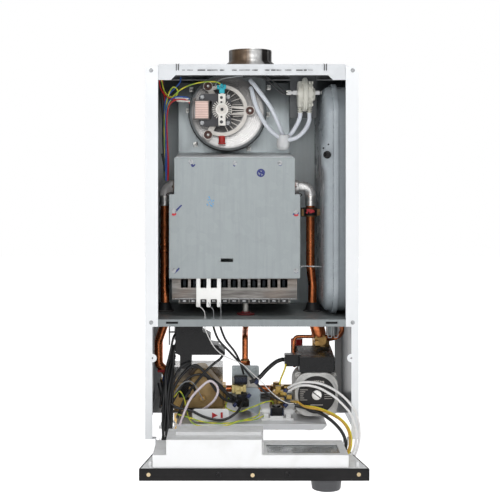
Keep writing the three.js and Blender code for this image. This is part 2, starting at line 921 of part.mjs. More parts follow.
function hingeArm() {
  const cheekLeft = hingeCheekX - hingeGauge;
  const [rear, front] = [hingeDepth - hingeCheekRadius, hingeDepth + hingeCheekRadius];
  return join(
    block(cheekLeft, innerHalf + sheet / 2, rear, front, 0, hingeGauge),
    block(cheekLeft, hingeCheekX, rear, front, hinge, hingeGauge),
    rod('x', [hingeDepth, hinge], cheekLeft, hingeCheekX, hingeCheekRadius, 16),
    rod('x', [hingeDepth, hinge], cheekLeft - hingePinLength, hingeCheekX, hingePinRadius, 12),
  );
}

function sidePanel() {
  const half = casingWidth / 2;
  const lugX = half - lowerFlangeWidth;
  const shell = join(
    block(innerHalf, half, 0, casingDepth, 0, casingHeight),
    block(half - flangeWidth, half, faceRear, casingDepth, floorFoot, casingHeight),
    block(lugX, half, faceRear, casingDepth, 0, floorFoot),
    block(half - rearFlangeWidth, half, 0, sheet, 0, casingHeight),
    rod('y', [lugX, lugHeight], faceRear, casingDepth, lugRadius, 16),
    hingeArm(),
  );
  const lugHole = rod('y', [lugX, lugHeight], faceRear - overrun, casingDepth + overrun,
    lugHoleRadius, 8);
  return cut(shell, lugHole);
}

function topOutline() {
  const foot = casingHeight - topLipDepth;
  const gussetX = chamberHalf - gussetWidth;
  const right = [
    [gussetX - gussetDrop, foot], [gussetX, foot - gussetDrop],
    [chamberHalf, foot - gussetDrop], [chamberHalf, casingHeight], [topCornerX, casingHeight],
    [topCornerX - topRise, casingHeight + topRise],
  ];
  const left = right.map(([x, z]) => [-x, z]).reverse();
  return outline([...right, ...left]);
}

function hook(x) {
  const height = casingHeight;
  return block(x - hookWidth / 2, x + hookWidth / 2, floorFront - sheet, floorFront + hookReach,
    height - hookHalfHeight, height + hookHalfHeight);
}

function topPanel() {
  const hookX = bothSides((side) => bothSides((pair) =>
    side * hookPairX - hookPairShift + (pair * hookPairGap) / 2)).flat();
  const shell = join(
    block(-chamberHalf, chamberHalf, sheet + seat, floorFront, topUnderside, casingHeight),
    prism('y', topOutline(), floorFront - sheet, floorFront),
    ...hookX.map(hook),
  );
  const flueHole = rod('z', [flueX, flueDepth], topUnderside - overrun, casingHeight + overrun,
    spigotRadius + portClearance, 24);
  return cut(shell, flueHole);
}

function backPanel() {
  const [low, high] = [hangHeight - hangRailHeight / 2, hangHeight + hangRailHeight / 2];
  const half = hangRailWidth / 2;
  const rail = join(
    block(-half, half, 0, sheet, low, high),
    block(-half, half, 0, backFace, low, low + sheet),
    block(-half, half, 0, backFace, high - sheet, high),
  );
  const slots = bothSides((side) => block(side * hangSlotX - hangSlotWidth / 2,
    side * hangSlotX + hangSlotWidth / 2, -overrun, sheet + overrun,
    hangHeight - hangSlotHeight / 2, hangHeight + hangSlotHeight / 2));
  const back = block(-chamberHalf, chamberHalf, wallGap, backFace, floorFoot, topUnderside - seat);
  return join(back, cut(rail, ...slots));
}

function chamberFloor() {
  const shell = join(
    block(-chamberHalf, chamberHalf, backFace + seat, floorFront, floorHeight - sheet, floorHeight),
    block(-chamberHalf, chamberHalf, floorFront - sheet, floorFront, floorFoot, floorHeight),
  );
  const slotTop = floorHeight - lipSlotDrop;
  const slots = bothSides((side) => block(side * lipSlotX - lipSlotWidth / 2,
    side * lipSlotX + lipSlotWidth / 2, floorFront - sheet - overrun, floorFront + overrun,
    slotTop - lipSlotHeight, slotTop));
  const holes = [
    [leftPipeX, waterDepth, floorPipeHole], [lowerPipeX, waterDepth, floorPipeHole],
    [gasPipeX, gasManifoldDepth, gasPipeRadius + portClearance],
    [vesselPipeX, vesselPipeDepth, vesselPipeHole],
    ...leadHoleX.map((x) => [x, leadHoleDepth, leadHoleRadius]),
  ].map(([x, depth, radius]) => rod('z', [x, depth], floorHeight - sheet - overrun,
    floorHeight + overrun, radius, 12));
  return cut(shell, ...slots, ...holes);
}

function lowerRail() {
  const half = casingWidth / 2 - rearFlangeWidth - seat;
  const shell = join(
    block(-half, half, 0, sheet, 0, lowerRailHeight),
    block(-half, half, 0, lowerRailFoot, lowerRailHeight - sheet, lowerRailHeight),
  );
  const holes = bothSides((side) => rod('y', [side * railHoleX, lowerRailHeight / 2], -overrun,
    sheet + overrun, railHoleRadius, 12));
  return cut(shell, ...holes);
}

function bottomPlate() {
  const half = plateHalfWidth;
  const underside = plateHeight - sheet;
  const plan = outline([
    [-chamberHalf, sheet + seat], [chamberHalf, sheet + seat], [chamberHalf, plateWingDepth],
    [half, plateWingDepth], [half, plateFront], [-half, plateFront], [-half, plateWingDepth],
    [-chamberHalf, plateWingDepth],
  ]);
  const foot = plateHeight - plateLip;
  const lip = outline([
    [-half, plateHeight], [-half, foot + plateCorner], [-half + plateCorner, foot],
    [half - plateCorner, foot], [half, foot + plateCorner], [half, plateHeight],
  ]);
  const holes = portX.map((x, i) => {
    const radius = i === 0 || i === portCount - 1 ? heatingPortRadius : tapPortRadius;
    return rod('z', [x, portDepth], underside - overrun, plateHeight + overrun,
      radius + portClearance, 16);
  });
  const shell = join(
    prism('z', plan, underside, plateHeight),
    prism('y', lip, plateFront - sheet, plateFront),
  );
  return cut(shell, ...holes);
}

function flueCollar() {
  const foot = casingHeight + seat;
  const profile = [
    [collarBoreRadius, 0], [collarFootRadius, 0], [collarFootRadius, collarFootHeight],
    [collarSkirtRadius, collarFootHeight], [collarSkirtRadius, collarSkirtHeight],
    [collarRadius, collarConeHeight], [collarRadius, collarHeight],
    [collarRadius - collarWall, collarHeight], [collarRadius - collarWall, collarBoreHeight],
    [collarBoreRadius, collarBoreHeight], [collarBoreRadius, 0],
  ].map(([radius, along]) => [radius, foot + along]);
  return turned('z', [flueX, flueDepth], profile, 28);
}

// Smoke hood and fan

function smokeHood() {
  const half = hoodWidth / 2;
  const shoulder = hoodBase + hoodShoulder;
  const outer = outline([
    [chamberRear, hoodBase], [chamberRear, hoodTop], [hoodPlateDepth, hoodTop],
    [hoodPlateDepth, shoulder], [coverInner, hoodBase + sheet], [coverInner, hoodBase],
  ]);
  const inner = outline([
    [chamberRear + sheet, hoodBase - overrun], [chamberRear + sheet, hoodTop - sheet],
    [hoodPlateDepth - sheet, hoodTop - sheet], [hoodPlateDepth - sheet, shoulder - sheet],
    [coverInner - hoodLip, hoodBase], [coverInner - hoodLip, hoodBase - overrun],
  ]);
  return cut(
    prism('x', outer, chamberX - half, chamberX + half),
    prism('x', inner, chamberX - half + sheet, chamberX + half - sheet),
    rod('y', [fanX, fanHeight], hoodPlateDepth - sheet - overrun, hoodPlateDepth + overrun,
      inletRadius, 28),
  );
}

function scrollBody(wall) {
  const radius = scrollRadius - wall;
  const half = ductWidth / 2 - wall;
  const [rear, front] = [scrollRear + wall, scrollFront - wall];
  return join(
    rod('y', [scrollX, scrollHeight], rear, front, radius, 40),
    block(flueX - half, flueX + half, rear, front, scrollHeight, ductTop - wall),
  );
}

function tap(index, from) {
  return rod('y', [flueX, ductTop - tapDrops[index]], from, scrollFront + tapLength, tapRadius, 10);
}

function tapBore(index) {
  return rod('y', [flueX, ductTop - tapDrops[index]], scrollFront - 2 * sheet,
    scrollFront + tapLength + overrun, tapBoreRadius, 8);
}

function fanScroll() {
  const spigotTop = ductTop + spigotLength;
  const shell = join(
    scrollBody(0),
    rod('z', [flueX, flueDepth], ductTop - sheet / 2, spigotTop, spigotRadius, 24),
    tap(1, scrollFront - sheet / 2),
  );
  return cut(
    shell,
    scrollBody(sheet),
    rod('z', [flueX, flueDepth], ductTop - overrun, spigotTop + overrun,
      spigotRadius - sheet, 24),
    rod('y', [fanX, fanHeight], scrollRear - overrun, scrollRear + 2 * sheet, inletRadius, 28),
    rod('y', [fanX, fanHeight], scrollFront - 2 * sheet, scrollFront + overrun,
      scrollMouthRadius, 32),
    ...tapDrops.map((_, i) => tapBore(i)),
  );
}

function fanFrontPlate() {
  const rear = plateFace - frontPlateThickness;
  return cut(
    join(
      rod('y', [scrollX, scrollHeight], rear, plateFace, frontPlateRadius, 36),
      tap(0, plateFace - frontPlateThickness / 2),
    ),
    tapBore(0),
    rod('y', [fanX, fanHeight], rear - overrun, plateFace + overrun, shaftHoleRadius, 20),
  );
}

function blade(index) {
  const start = (2 * Math.PI * index) / bladeCount;
  const middle = (wheelInnerRadius + wheelRadius) / 2;
  const stations = [[wheelInnerRadius, 0], [middle, bladeLean / 3], [wheelRadius, bladeLean]];
  const edge = (shift) => stations.map(([radius, turn]) =>
    onCircle([fanX, fanHeight], radius, start + turn + shift / radius));
  const corners = [...edge(0), ...edge(bladeThickness).reverse()];
  return prism('y', outline(corners), wheelRear + wheelDisc / 2, wheelFront - wheelDisc / 2);
}

function fanImpeller() {
  const centre = [fanX, fanHeight];
  const ring = cut(
    rod('y', centre, wheelRear, wheelRear + wheelDisc, wheelRimRadius, 32),
    rod('y', centre, wheelRear - overrun, wheelRear + wheelDisc + overrun, wheelInnerRadius, 32),
  );
  const wheel = join(
    rod('y', centre, wheelFront - wheelDisc, wheelFront, wheelRimRadius, 32),
    ring,
    rod('y', centre, wheelFront - wheelHubLength, wheelFront, wheelHubRadius, 16),
    ...Array.from({ length: bladeCount }, (_, i) => blade(i)),
  );
  return cut(wheel, rod('y', centre, wheelRear, wheelFront + overrun, shaftRadius + seat, 12));
}

function coolingFin(index) {
  const centre = [fanX, fanHeight];
  const angle = (2 * Math.PI * index) / coolingFinCount;
  return bar(onCircle(centre, coolingHubRadius - seat, angle),
    onCircle(centre, coolingRadius, angle), coolingFinWidth, coolingRear, coolingFront);
}

function fanRotor() {
  const centre = [fanX, fanHeight];
  return join(
    rod('y', centre, wheelFront - wheelHubLength, bridgeFront, shaftRadius, 12),
    rod('y', centre, coreRear, coreFront, rotorRadius, 20),
    rod('y', centre, coolingRear, coolingFront, coolingHubRadius, 18),
    ...Array.from({ length: coolingFinCount }, (_, i) => coolingFin(i)),
  );
}

function bracketRing() {
  const [outer, inner] = [bracketRingRadius + bracketRingWidth / 2,
    bracketRingRadius - bracketRingWidth / 2];
  const [start, end] = [lobeAngles[2], lobeAngles[1]];
  const shape = new THREE.Shape();
  shape.absarc(fanX, fanHeight, outer, start, end);
  shape.absarc(fanX, fanHeight, inner, end, start, true);
  return prism('y', shape, bracketRear, bracketFront, { segments: 14 });
}

function fanMotorBracket() {
  const centre = [fanX, fanHeight];
  const lobes = lobeAngles.map((angle) => onCircle(centre, lobeCircleRadius, angle));
  const spokes = bothSides((side) => bar([fanX, fanHeight + side * spokeSpread],
    [lobes[0][0], fanHeight + (side * spokeSpread) / 3], spokeWidth, bracketRear, bracketFront));
  const frame = join(
    bracketRing(),
    rod('y', centre, bracketRear, bracketFront, bracketHubRadius, 20),
    ...spokes,
    ...lobes.slice(1).map((lobe) => bar(centre, lobe, lobeArmWidth, bracketRear, bracketFront)),
    ...lobes.map((lobe) => rod('y', lobe, bracketRear, bracketFront, lobeRadius, 14)),
    ...lobes.map((lobe) => rod('y', lobe, plateFace + seat, bracketFront, lobePostRadius, 12)),
  );
  return cut(frame, rod('y', centre, bracketRear - overrun, bracketFront + overrun,
    shaftRadius + seat, 12));
}

function fanMotorCore() {
  const half = coreSize / 2;
  const plan = rounded(coreX - half, coreX + half, fanHeight - half, fanHeight + half, coreCorner);
  const windowX = coreLeft + coreLimbWidth;
  return cut(
    prism('y', plan, coreRear, coreFront, { segments: 3 }),
    rod('y', [fanX, fanHeight], coreRear - overrun, coreFront + overrun, coreBoreRadius, 20),
    block(windowX, windowX + coreWindowWidth, coreRear - overrun, coreFront + overrun,
      fanHeight - coreWindowHeight / 2, fanHeight + coreWindowHeight / 2),
  );
}

function fanCoil() {
  const limbX = coreLeft + coreLimbWidth / 2;
  const middle = (coreRear + coreFront) / 2;
  const [high, low] = [fanHeight + coilHeight / 2, fanHeight - coilHeight / 2];
  const plan = rounded(limbX - coilWidth / 2, limbX + coilWidth / 2, middle - coilDepth / 2,
    middle + coilDepth / 2, coreCorner / 2);
  return cut(
    prism('z', plan, low, high, { segments: 3 }),
    block(coreLeft - seat, coreLeft + coreLimbWidth + seat, coreRear - seat, coreFront + seat,
      low - overrun, high + overrun),
  );
}

function fanBearingBridge() {
  const [left, right] = [fanX - bridgeWidth / 2, fanX + bridgeWidth / 2];
  const [low, high] = [fanHeight - bridgeLength / 2, fanHeight + bridgeLength / 2];
  const tab = terminalTabWidth / 2;
  const frame = join(
    block(left, right, bridgeRear, bridgeFront, low, high),
    block(left, right, coreFront + seat, bridgeFront, low, low + bridgeFoot),
    block(left, right, coreFront + seat, bridgeFront, high - bridgeFoot, high),
    rod('y', [fanX, fanHeight], bridgeRear, bridgeFront + bridgeHubRise, bridgeHubRadius, 20),
    block(fanX - tab, fanX + tab, bridgeFront - terminalTabThickness, bridgeFront,
      high - bridgeFoot, high + terminalTabRise),
  );
  return cut(frame, rod('y', [fanX, fanHeight], coolingFront, bridgeFront + seat,
    shaftRadius + seat, 12));
}

// Combustion group

function coverSheet(width, bottom, top) {
  const half = width / 2;
  const [left, right] = [chamberX - half, chamberX + half];
  return join(
    block(left, right, coverFaceDepth - sheet, coverFaceDepth, bottom, top),
    block(left, left + sheet, coverFaceDepth - coverFold, coverFaceDepth, bottom, top),
    block(right - sheet, right, coverFaceDepth - coverFold, coverFaceDepth, bottom, top),
  );
}

function combustionCover() {
  const slotX = chamberX + coverSlotShift;
  const slotZ = coverBottom + coverSlotRise;
  return cut(
    join(
      coverSheet(coverWidth, coverBottom, exchangerBase),
      coverSheet(coverUpperWidth, exchangerBase - sheet, hoodBase - seat),
    ),
    block(slotX - coverSlotWidth / 2, slotX + coverSlotWidth / 2, coverInner - overrun,
      coverFaceDepth + overrun, slotZ - coverSlotHeight / 2, slotZ + coverSlotHeight / 2),
  );
}

function combustionBox() {
  const top = exchangerBase - seat;
  return cut(
    block(chamberX - boxHalf, chamberX + boxHalf, chamberRear, coverInner, coverBottom, top),
    block(chamberX - boxHalf + boxWall, chamberX + boxHalf - boxWall, chamberRear + boxWall,
      coverInner + overrun, coverBottom - overrun, top + overrun),
  );
}

function heatExchanger() {
  const [left, right] = [chamberX - frameHalf, chamberX + frameHalf];
  const [low, high] = [exchangerBase, hoodBase - seat];
  const frame = cut(
    block(left, right, chamberRear, coverInner, low, high),
    block(left + boxWall, right - boxWall, chamberRear + boxWall, coverInner - boxWall,
      low - overrun, high + overrun),
  );
  const pitch = (right - left) / (finCount + 1);
  const fins = Array.from({ length: finCount }, (_, i) => {
    const x = left + (i + 1) * pitch;
    return block(x - finThickness / 2, x + finThickness / 2, chamberRear + boxWall / 2,
      coverInner - boxWall / 2, low + boxWall, high - boxWall);
  });
  const tubes = waterTubeDepths.map((depth) =>
    rod('x', [depth, waterHeight], left, right, waterTubeRadius, 6));
  const through = rod('x', [waterDepth, waterHeight], left - elbowGap, right + elbowGap,
    waterTubeRadius, 6);
  return join(frame, ...fins, ...tubes, through);
}

function burnerSlotX() {
  return Array.from({ length: burnerWindowCount }, (_, i) => burnerFirstX + i * burnerPitch);
}

function burner() {
  const half = burnerWidth / 2;
  const [left, right] = [chamberX - half, chamberX + half];
  const plateRear = burnerFaceDepth - burnerPlate;
  const baseTop = burnerFoot + burnerBaseHeight;
  const windowTop = burnerTop - burnerWindowGap;
  const barTop = baseTop + burnerBarRise;
  const windows = burnerSlotX().map((x) => block(x - burnerWindowWidth / 2,
    x + burnerWindowWidth / 2, plateRear - overrun, burnerFaceDepth + overrun,
    windowTop - burnerWindowHeight, windowTop));
  const bars = burnerSlotX().map((x) => block(x - burnerBarWidth / 2, x + burnerBarWidth / 2,
    burnerRear + burnerPlate, plateRear - burnerBarSetback, baseTop - burnerPlate, barTop));
  const tabs = burnerSlotX().map((x) => block(x - burnerTabWidth / 2, x + burnerTabWidth / 2,
    plateRear, burnerFaceDepth, burnerFoot - burnerTabHeight, burnerFoot + burnerPlate));
  return join(
    cut(block(left, right, plateRear, burnerFaceDepth, burnerFoot, burnerTop), ...windows),
    block(left, left + burnerPlate, burnerRear, burnerFaceDepth, burnerFoot, burnerTop),
    block(right - burnerPlate, right, burnerRear, burnerFaceDepth, burnerFoot, burnerTop),
    block(left, right, burnerRear, burnerRear + burnerPlate, burnerFoot, burnerTop),
    block(left, right, burnerRear, burnerFaceDepth, burnerFoot, baseTop),
    ...bars,
    ...tabs,
  );
}

function gasManifold() {
  const nozzles = burnerSlotX().map((x) => rod('z', [x, gasManifoldDepth], gasManifoldHeight,
    burnerFoot - seat, nozzleRadius, 8));
  const bottom = floorHeight + seat;
  return join(
    rod('x', [gasManifoldDepth, gasManifoldHeight], gasManifoldLeft, gasManifoldRight,
      gasManifoldRadius, 14),
    rod('z', [gasPipeX, gasManifoldDepth], bottom, gasManifoldHeight, gasManifoldRadius, 14),
    rod('z', [gasPipeX, gasManifoldDepth], bottom, bottom + gasFlangeHeight, gasFlangeRadius, 16),
    ...nozzles,
  );
}

function electrodeBlock() {
  const x = chamberX + electrodeShift;
  const [rear, front] = [burnerFaceDepth + seat, burnerFaceDepth + seat + electrodeThickness];
  const barBottom = burnerFoot + electrodeBarRise;
  const barTop = barBottom + electrodeBarHeight;
  const reach = (electrodeWidth - electrodeProngWidth) / 2;
  const prongs = [-reach, 0, reach].map((shift) => block(x + shift - electrodeProngWidth / 2,
    x + shift + electrodeProngWidth / 2, rear, front, barBottom - electrodeProngBelow,
    barTop + electrodeProngAbove));
  const crossbar = block(x - electrodeWidth / 2, x + electrodeWidth / 2, rear, front, barBottom, barTop);
  return join(crossbar, ...prongs);
}

// Water side of the chamber

function elbow(side, pipeX) {
  const start = chamberX + side * (frameHalf + elbowGap + seat);
  const socketEnd = start + side * socketLength;
  const [left, right] = side < 0 ? [socketEnd, start] : [start, socketEnd];
  return join(
    pipe([[start, waterDepth, waterHeight], [pipeX, waterDepth, waterHeight],
      [pipeX, waterDepth, waterHeight - elbowDrop]], elbowRadius, elbowBend, { steps: 5 }),
    rod('x', [waterDepth, waterHeight], left, right, socketRadius, 16),
  );
}

function unionNut(x, top) {
  return rod('z', [x, waterDepth], top - unionLength, top, unionRadius, 6);
}

function leftPipe() {
  const bead = pipeTop - beadDrop;
  return join(
    unionNut(leftPipeX, unionTop),
    pipe([
      [leftPipeX, waterDepth, unionTop - unionLength / 2], [leftPipeX, waterDepth, leftPipeJogTop],
      [leftPipeLowX, portDepth, leftPipeJogBottom], [leftPipeLowX, portDepth, leftPipeKnee],
      [bossX, portDepth, leftPipeFoot], [bossX, portDepth, blockTop + bossHeight + seat],
    ], pipeRadius, pipeBend, { steps: 3 }),
    rod('z', [leftPipeX, waterDepth], bead - beadLength, bead, beadRadius, 14),
  );
}

function rightPipe() {
  const rise = pipeTop - floorHeight;
  const [high, low] = [jogTopShare, jogBottomShare].map((share) => floorHeight + share * rise);
  return join(
    unionNut(rightPipeX, unionTop),
    pipe([
      [rightPipeX, waterDepth, unionTop - unionLength / 2], [rightPipeX, waterDepth, high],
      [lowerPipeX, waterDepth, low], [lowerPipeX, waterDepth, floorFoot],
      [returnX, waterDepth, returnNeckTop + pipeRadius],
      [returnX, waterDepth, returnNeckTop + seat],
    ], pipeRadius, pipeRadius, { steps: 2 }),
  );
}

function limitThermostat() {
  const top = pipeTop - clipDrop;
  const bottom = top - clipHeight;
  return cut(
    join(
      rod('z', [rightPipeX, waterDepth], bottom, top, clipRadius, 16),
      block(rightPipeX - clipLeft, rightPipeX, waterDepth - clipDepth / 2,
        waterDepth + clipDepth / 2, bottom, top),
      block(rightPipeX, vesselLeft - seat, waterDepth - clipDepth / 2,
        waterDepth + clipDepth / 2, bottom, top),
    ),
    rod('z', [rightPipeX, waterDepth], bottom - overrun, top + overrun, pipeRadius + seat, 16),
  );
}

function expansionVessel() {
  const body = rounded(vesselRear, vesselFront, vesselBottom, vesselTop, vesselCorner);
  const band = rounded(vesselRear - bandProud / 2, vesselFront + bandProud,
    vesselBottom - bandProud, vesselTop + bandProud, vesselCorner + bandProud);
  return join(
    prism('x', body, vesselLeft, vesselRight, { segments: 5, bevel: vesselEdge, bevelSegments: 2 }),
    prism('x', band, bandLeft, bandLeft + bandWidth, { segments: 5 }),
    rod('y', [valveBossX, valveBossHeight], vesselFront - vesselEdge, vesselFront + valveBossLength,
      valveBossRadius, 12),
  );
}

function vesselPipe() {
  return pipe([
    [returnX + returnRadius + seat, vesselPipeDepth, returnHeight],
    [vesselPipeX, vesselPipeDepth, returnHeight],
    [vesselPipeX, vesselPipeDepth, vesselBottom - seat],
  ], vesselPipeRadius, vesselPipeBend, { sides: 10 });
}

function pressureSwitch() {
  const half = switchThickness / 2;
  const hub = half + switchHubLength;
  const profile = [
    [0, -half], [switchBodyRadius, -half], [switchBodyRadius, -switchRimHalf],
    [switchRadius, -switchRimHalf], [switchRadius, switchRimHalf],
    [switchBodyRadius, switchRimHalf], [switchBodyRadius, half], [switchHubRadius, half],
    [switchHubRadius, hub], [0, hub],
  ].map(([radius, along]) => [radius, switchX + along]);
  const ports = bothSides((side) => rod('z',
    [switchX + side * switchPortSpread, switchDepth], switchPortFoot,
    switchHeight - switchBodyRadius / 2, switchPortRadius, 10));
  return join(turned('x', [switchDepth, switchHeight], profile, 28), ...ports);
}

function pressureSwitchBracket() {
  const front = switchDepth - switchRadius - seat;
  const top = topUnderside - seat;
  const [left, right] = [switchBracketLeft, switchBracketRight];
  return join(
    block(left, right, front - sheet, front, switchBracketBottom, top),
    block(left, right, front - switchBracketFoot, front, top - sheet, top),
  );
}

function hoseRoute(index) {
  const x = switchX + [1, -1][index] * switchPortSpread;
  const start = [flueX, tapFront, ductTop - tapDrops[index]];
  const end = [x, switchDepth, switchPortFoot - seat];
  return [
    start,
    [flueX, start[1] + hoseRadius / 2, start[2]],
    ...between(start, end, hoseShares[index]),
    [x, switchDepth, switchPortFoot - 2 * hoseRadius],
    end,
  ];
}

function sensingHose(index, radius = hoseRadius) {
  return lead(hoseRoute(index), radius, 32);
}

function condensateCapsule() {
  const foot = capsuleTop - capsuleLength;
  const profile = [
    [0, foot], [capsuleRadius - capsuleNose / 2, foot + capsuleNose / 4],
    [capsuleRadius, foot + capsuleNose], [capsuleRadius, capsuleTop], [0, capsuleTop],
  ];
  const channels = hoseShares.map((_, i) => sensingHose(i, hoseRadius + seat));
  return cut(turned('z', [capsuleX, capsuleDepth], profile, 20), ...channels);
}

// Pump and return side

function pumpMotor() {
  const [x, z] = [pumpX, pumpHeight];
  const plan = rounded(x - pumpHalfWidth, x + pumpHalfWidth, z - pumpHalfWidth,
    z + pumpHalfWidth, pumpCorner);
  const labelFront = pumpFront + pumpLabelRise;
  const screwFront = labelFront + pumpScrewRise;
  const slot = bar([x - pumpScrewRadius, z + pumpScrewRadius],
    [x + pumpScrewRadius, z - pumpScrewRadius], pumpScrewSlot, screwFront - pumpScrewSlot,
    screwFront + overrun);
  return cut(
    join(
      prism('y', plan, pumpRear, pumpFront, { segments: 4, bevel: pumpLabelRise }),
      rod('y', [x, z], pumpFront - pumpLabelRise, labelFront, pumpLabelRadius, 32),
      rod('y', [x, z], pumpFront, screwFront, pumpScrewRadius, 18),
    ),
    slot,
  );
}

function pumpTerminalBox() {
  const side = outline([
    [terminalBoxRear, terminalBoxBottom], [terminalBoxRear, terminalBoxRearTop],
    [terminalBoxFront, terminalBoxFrontTop], [terminalBoxFront, terminalBoxBottom],
  ]);
  const plug = rounded(terminalBoxLeft - plugWidth, terminalBoxLeft + terminalBoxEdge * 2,
    plugBottom, plugTop, terminalBoxEdge);
  return join(
    prism('x', side, terminalBoxLeft, terminalBoxRight, { bevel: terminalBoxEdge }),
    prism('y', plug, plugRear, plugFront, { segments: 2, bevel: terminalBoxEdge / 2 }),
  );
}

function pumpVolute() {
  const [x, z] = [pumpX, pumpHeight];
  const footRear = portDepth - heatingPortRadius;
  return cut(
    join(
      rod('y', [x, z], housingRear, housingFront, housingRadius, 24),
      rod('y', [x, z], housingFront - housingFlange, housingFront, housingFlangeRadius, 8),
      block(returnPortX - heatingPortRadius, returnPortX + heatingPortRadius, footRear,
        housingFront, plateHeight + portClearance, housingFootHeight),
      rod('z', [returnPortX, portDepth], portBottom, plateHeight + 2 * portClearance,
        heatingPortRadius, 18),
      rod('z', [returnX, returnLegDepth], z, returnLegFoot, returnLegRadius, 16),
    ),
    rod('z', [returnPortX, portDepth], portBottom - overrun, portBottom + portBoreDepth,
      portBoreRadius, 12),
  );
}

function returnManifold() {
  const [x, z] = [returnX, returnHeight];
  return join(
    rod('y', [x, z], returnRear, returnFront, returnRadius, 16),
    rod('z', [x, waterDepth], z, returnNeckTop, returnNeckRadius, 6),
    rod('z', [x, returnLegDepth], returnLegFoot + seat, z, returnLegRadius, 16),
    rod('y', [returnPlugX, z - returnPlugRadius], returnFront - returnPlugLength / 2,
      returnFront + returnPlugLength, returnPlugRadius, 12),
  );
}

function reliefTube() {
  return pipe([
    [returnX - returnRadius - seat, tubeDepth, returnHeight + tubeRadius],
    [tubeX, tubeDepth, returnHeight + tubeRadius], [tubeX, tubeDepth, tubeKnee],
    [tubeLowX, tubeRear, tubeJogBottom], [tubeLowX, tubeRear, plateHeight + seat],
  ], tubeRadius, tubeBend, { sides: 8, steps: 3 });
}

function safetyValve() {
  const place = [reliefX, reliefDepth];
  const armEnd = returnX - returnLegRadius - seat;
  return cut(
    join(
      rod('z', place, reliefFoot, reliefTop, reliefRadius, 16),
      rod('z', place, reliefArmHeight - reliefArmRadius, reliefFoot + seat, reliefArmRadius, 12),
      rod('x', [reliefDepth, reliefArmHeight], reliefX, armEnd, reliefArmRadius, 12),
    ),
    rod('z', place, reliefTop - 2 * reliefStemRadius - seat, reliefTop + overrun,
      reliefStemRadius + seat, 12),
  );
}

function safetyValveKnob() {
  const place = [reliefX, reliefDepth];
  const top = reliefTop + reliefCapHeight;
  const grips = Array.from({ length: reliefGripCount }, (_, i) => {
    const angle = (2 * Math.PI * i) / reliefGripCount;
    return rod('z', onCircle(place, reliefCapRadius - reliefGripRadius / 2, angle),
      reliefTop + seat, top, reliefGripRadius, 6);
  });
  return join(
    rod('z', place, reliefTop + seat, top, reliefCapRadius - reliefGripRadius / 2, 16),
    rod('z', place, reliefTop - 2 * reliefStemRadius, top, reliefStemRadius, 12),
    ...grips,
  );
}

// Gas line

function gasValve() {
  const plan = rounded(gasValveLeft, gasValveRight, gasValveRear, gasValveFront, gasValveEdge);
  return cut(
    join(
      prism('z', plan, gasValveBottom, gasValveTop, { segments: 2, bevel: gasValveEdge / 2 }),
      block(gasInletLeft, gasInletRight, gasInletRear, gasInletFront, gasInletBottom,
        gasValveBottom + gasValveEdge),
      rod('z', [gasX, portDepth], portBottom, gasInletBottom + gasValveEdge, tapPortRadius, 16),
    ),
    rod('z', [gasX, portDepth], portBottom - overrun, portBottom + portBoreDepth,
      portBoreRadius, 12),
  );
}

function gasCoil() {
  const plan = rounded(gasCoilLeft, gasCoilRight, gasCoilBottom, gasCoilTop, gasCoilEdge);
  return prism('y', plan, gasValveFront + seat, gasCoilFront, { segments: 2, bevel: gasCoilEdge / 2 });
}

function gasRegulator() {
  const rear = gasValveFront + seat;
  const plug = rounded(valvePlugLeft, valvePlugLeft + valvePlugWidth,
    valvePlugTop - valvePlugHeight, valvePlugTop, valvePlugEdge);
  const socket = rounded(valveSocketLeft, valveSocketLeft + valveSocketWidth, valveSocketFoot,
    valvePlugTop - valvePlugHeight + valvePlugEdge, valvePlugEdge);
  return join(
    prism('y', plug, rear, rear + valvePlugLength, { segments: 2, bevel: valvePlugEdge / 2 }),
    prism('y', socket, rear, rear + valveSocketLength, { segments: 2, bevel: valvePlugEdge / 2 }),
  );
}

function gasPipe() {
  const bottom = gasValveTop + seat;
  return join(
    rod('z', [gasPipeX, waterDepth], bottom, bottom + gasUnionHeight, gasUnionRadius, 6),
    pipe([
      [gasPipeX, waterDepth, bottom + gasUnionHeight / 2], [gasPipeX, waterDepth, gasPipeJogBottom],
      [gasPipeX, gasManifoldDepth, gasPipeJogTop], [gasPipeX, gasManifoldDepth, floorHeight],
    ], gasPipeRadius, gasPipeBend, { sides: 10, steps: 3 }),
  );
}

// Left water group

function portStub(x, radius, top) {
  return rod('z', [x, portDepth], portBottom, top, radius, 18);
}

function portBore(x) {
  return rod('z', [x, portDepth], portBottom - overrun, portBottom + portBoreDepth,
    portBoreRadius, 12);
}

function leftManifold() {
  const side = rounded(blockRear, blockFront, blockBottom, blockTop, blockEdge);
  return cut(
    join(
      prism('x', side, blockLeft, blockRight, { segments: 2, bevel: blockEdge / 2 }),
      portStub(flowX, heatingPortRadius, blockBottom + blockEdge),
      portStub(tapX, tapPortRadius, blockBottom + blockEdge),
      rod('z', [bossX, portDepth], blockTop - blockEdge, blockTop + bossHeight, bossRadius, 16),
    ),
    portBore(flowX),
    portBore(tapX),
  );
}

function diverterDome() {
  const plan = outline(domeShares.map(([across, up]) =>
    [domeLeft + across * domeWidth, domeBottom + up * domeHeight]));
  return prism('y', plan, blockFront + seat, domeFront, { bevel: domeEdge, bevelSegments: 1 });
}

function plateExchanger() {
  const [left, right, low, high] = [exchangerLeft, exchangerRight, exchangerBottom, exchangerTop];
  const pitch = (exchangerFront - exchangerRear) / exchangerPlates;
  const core = block(left + exchangerGroove, right - exchangerGroove, exchangerRear, exchangerFront,
    low + exchangerGroove, high - exchangerGroove);
  const plates = Array.from({ length: exchangerPlates }, (_, i) => {
    const rear = exchangerRear + i * pitch;
    return block(left, right, rear, rear + pitch - exchangerGroove, low, high);
  });
  const front = block(left, right, exchangerFront - exchangerGroove, exchangerFront, low, high);
  return join(core, ...plates, front);
}

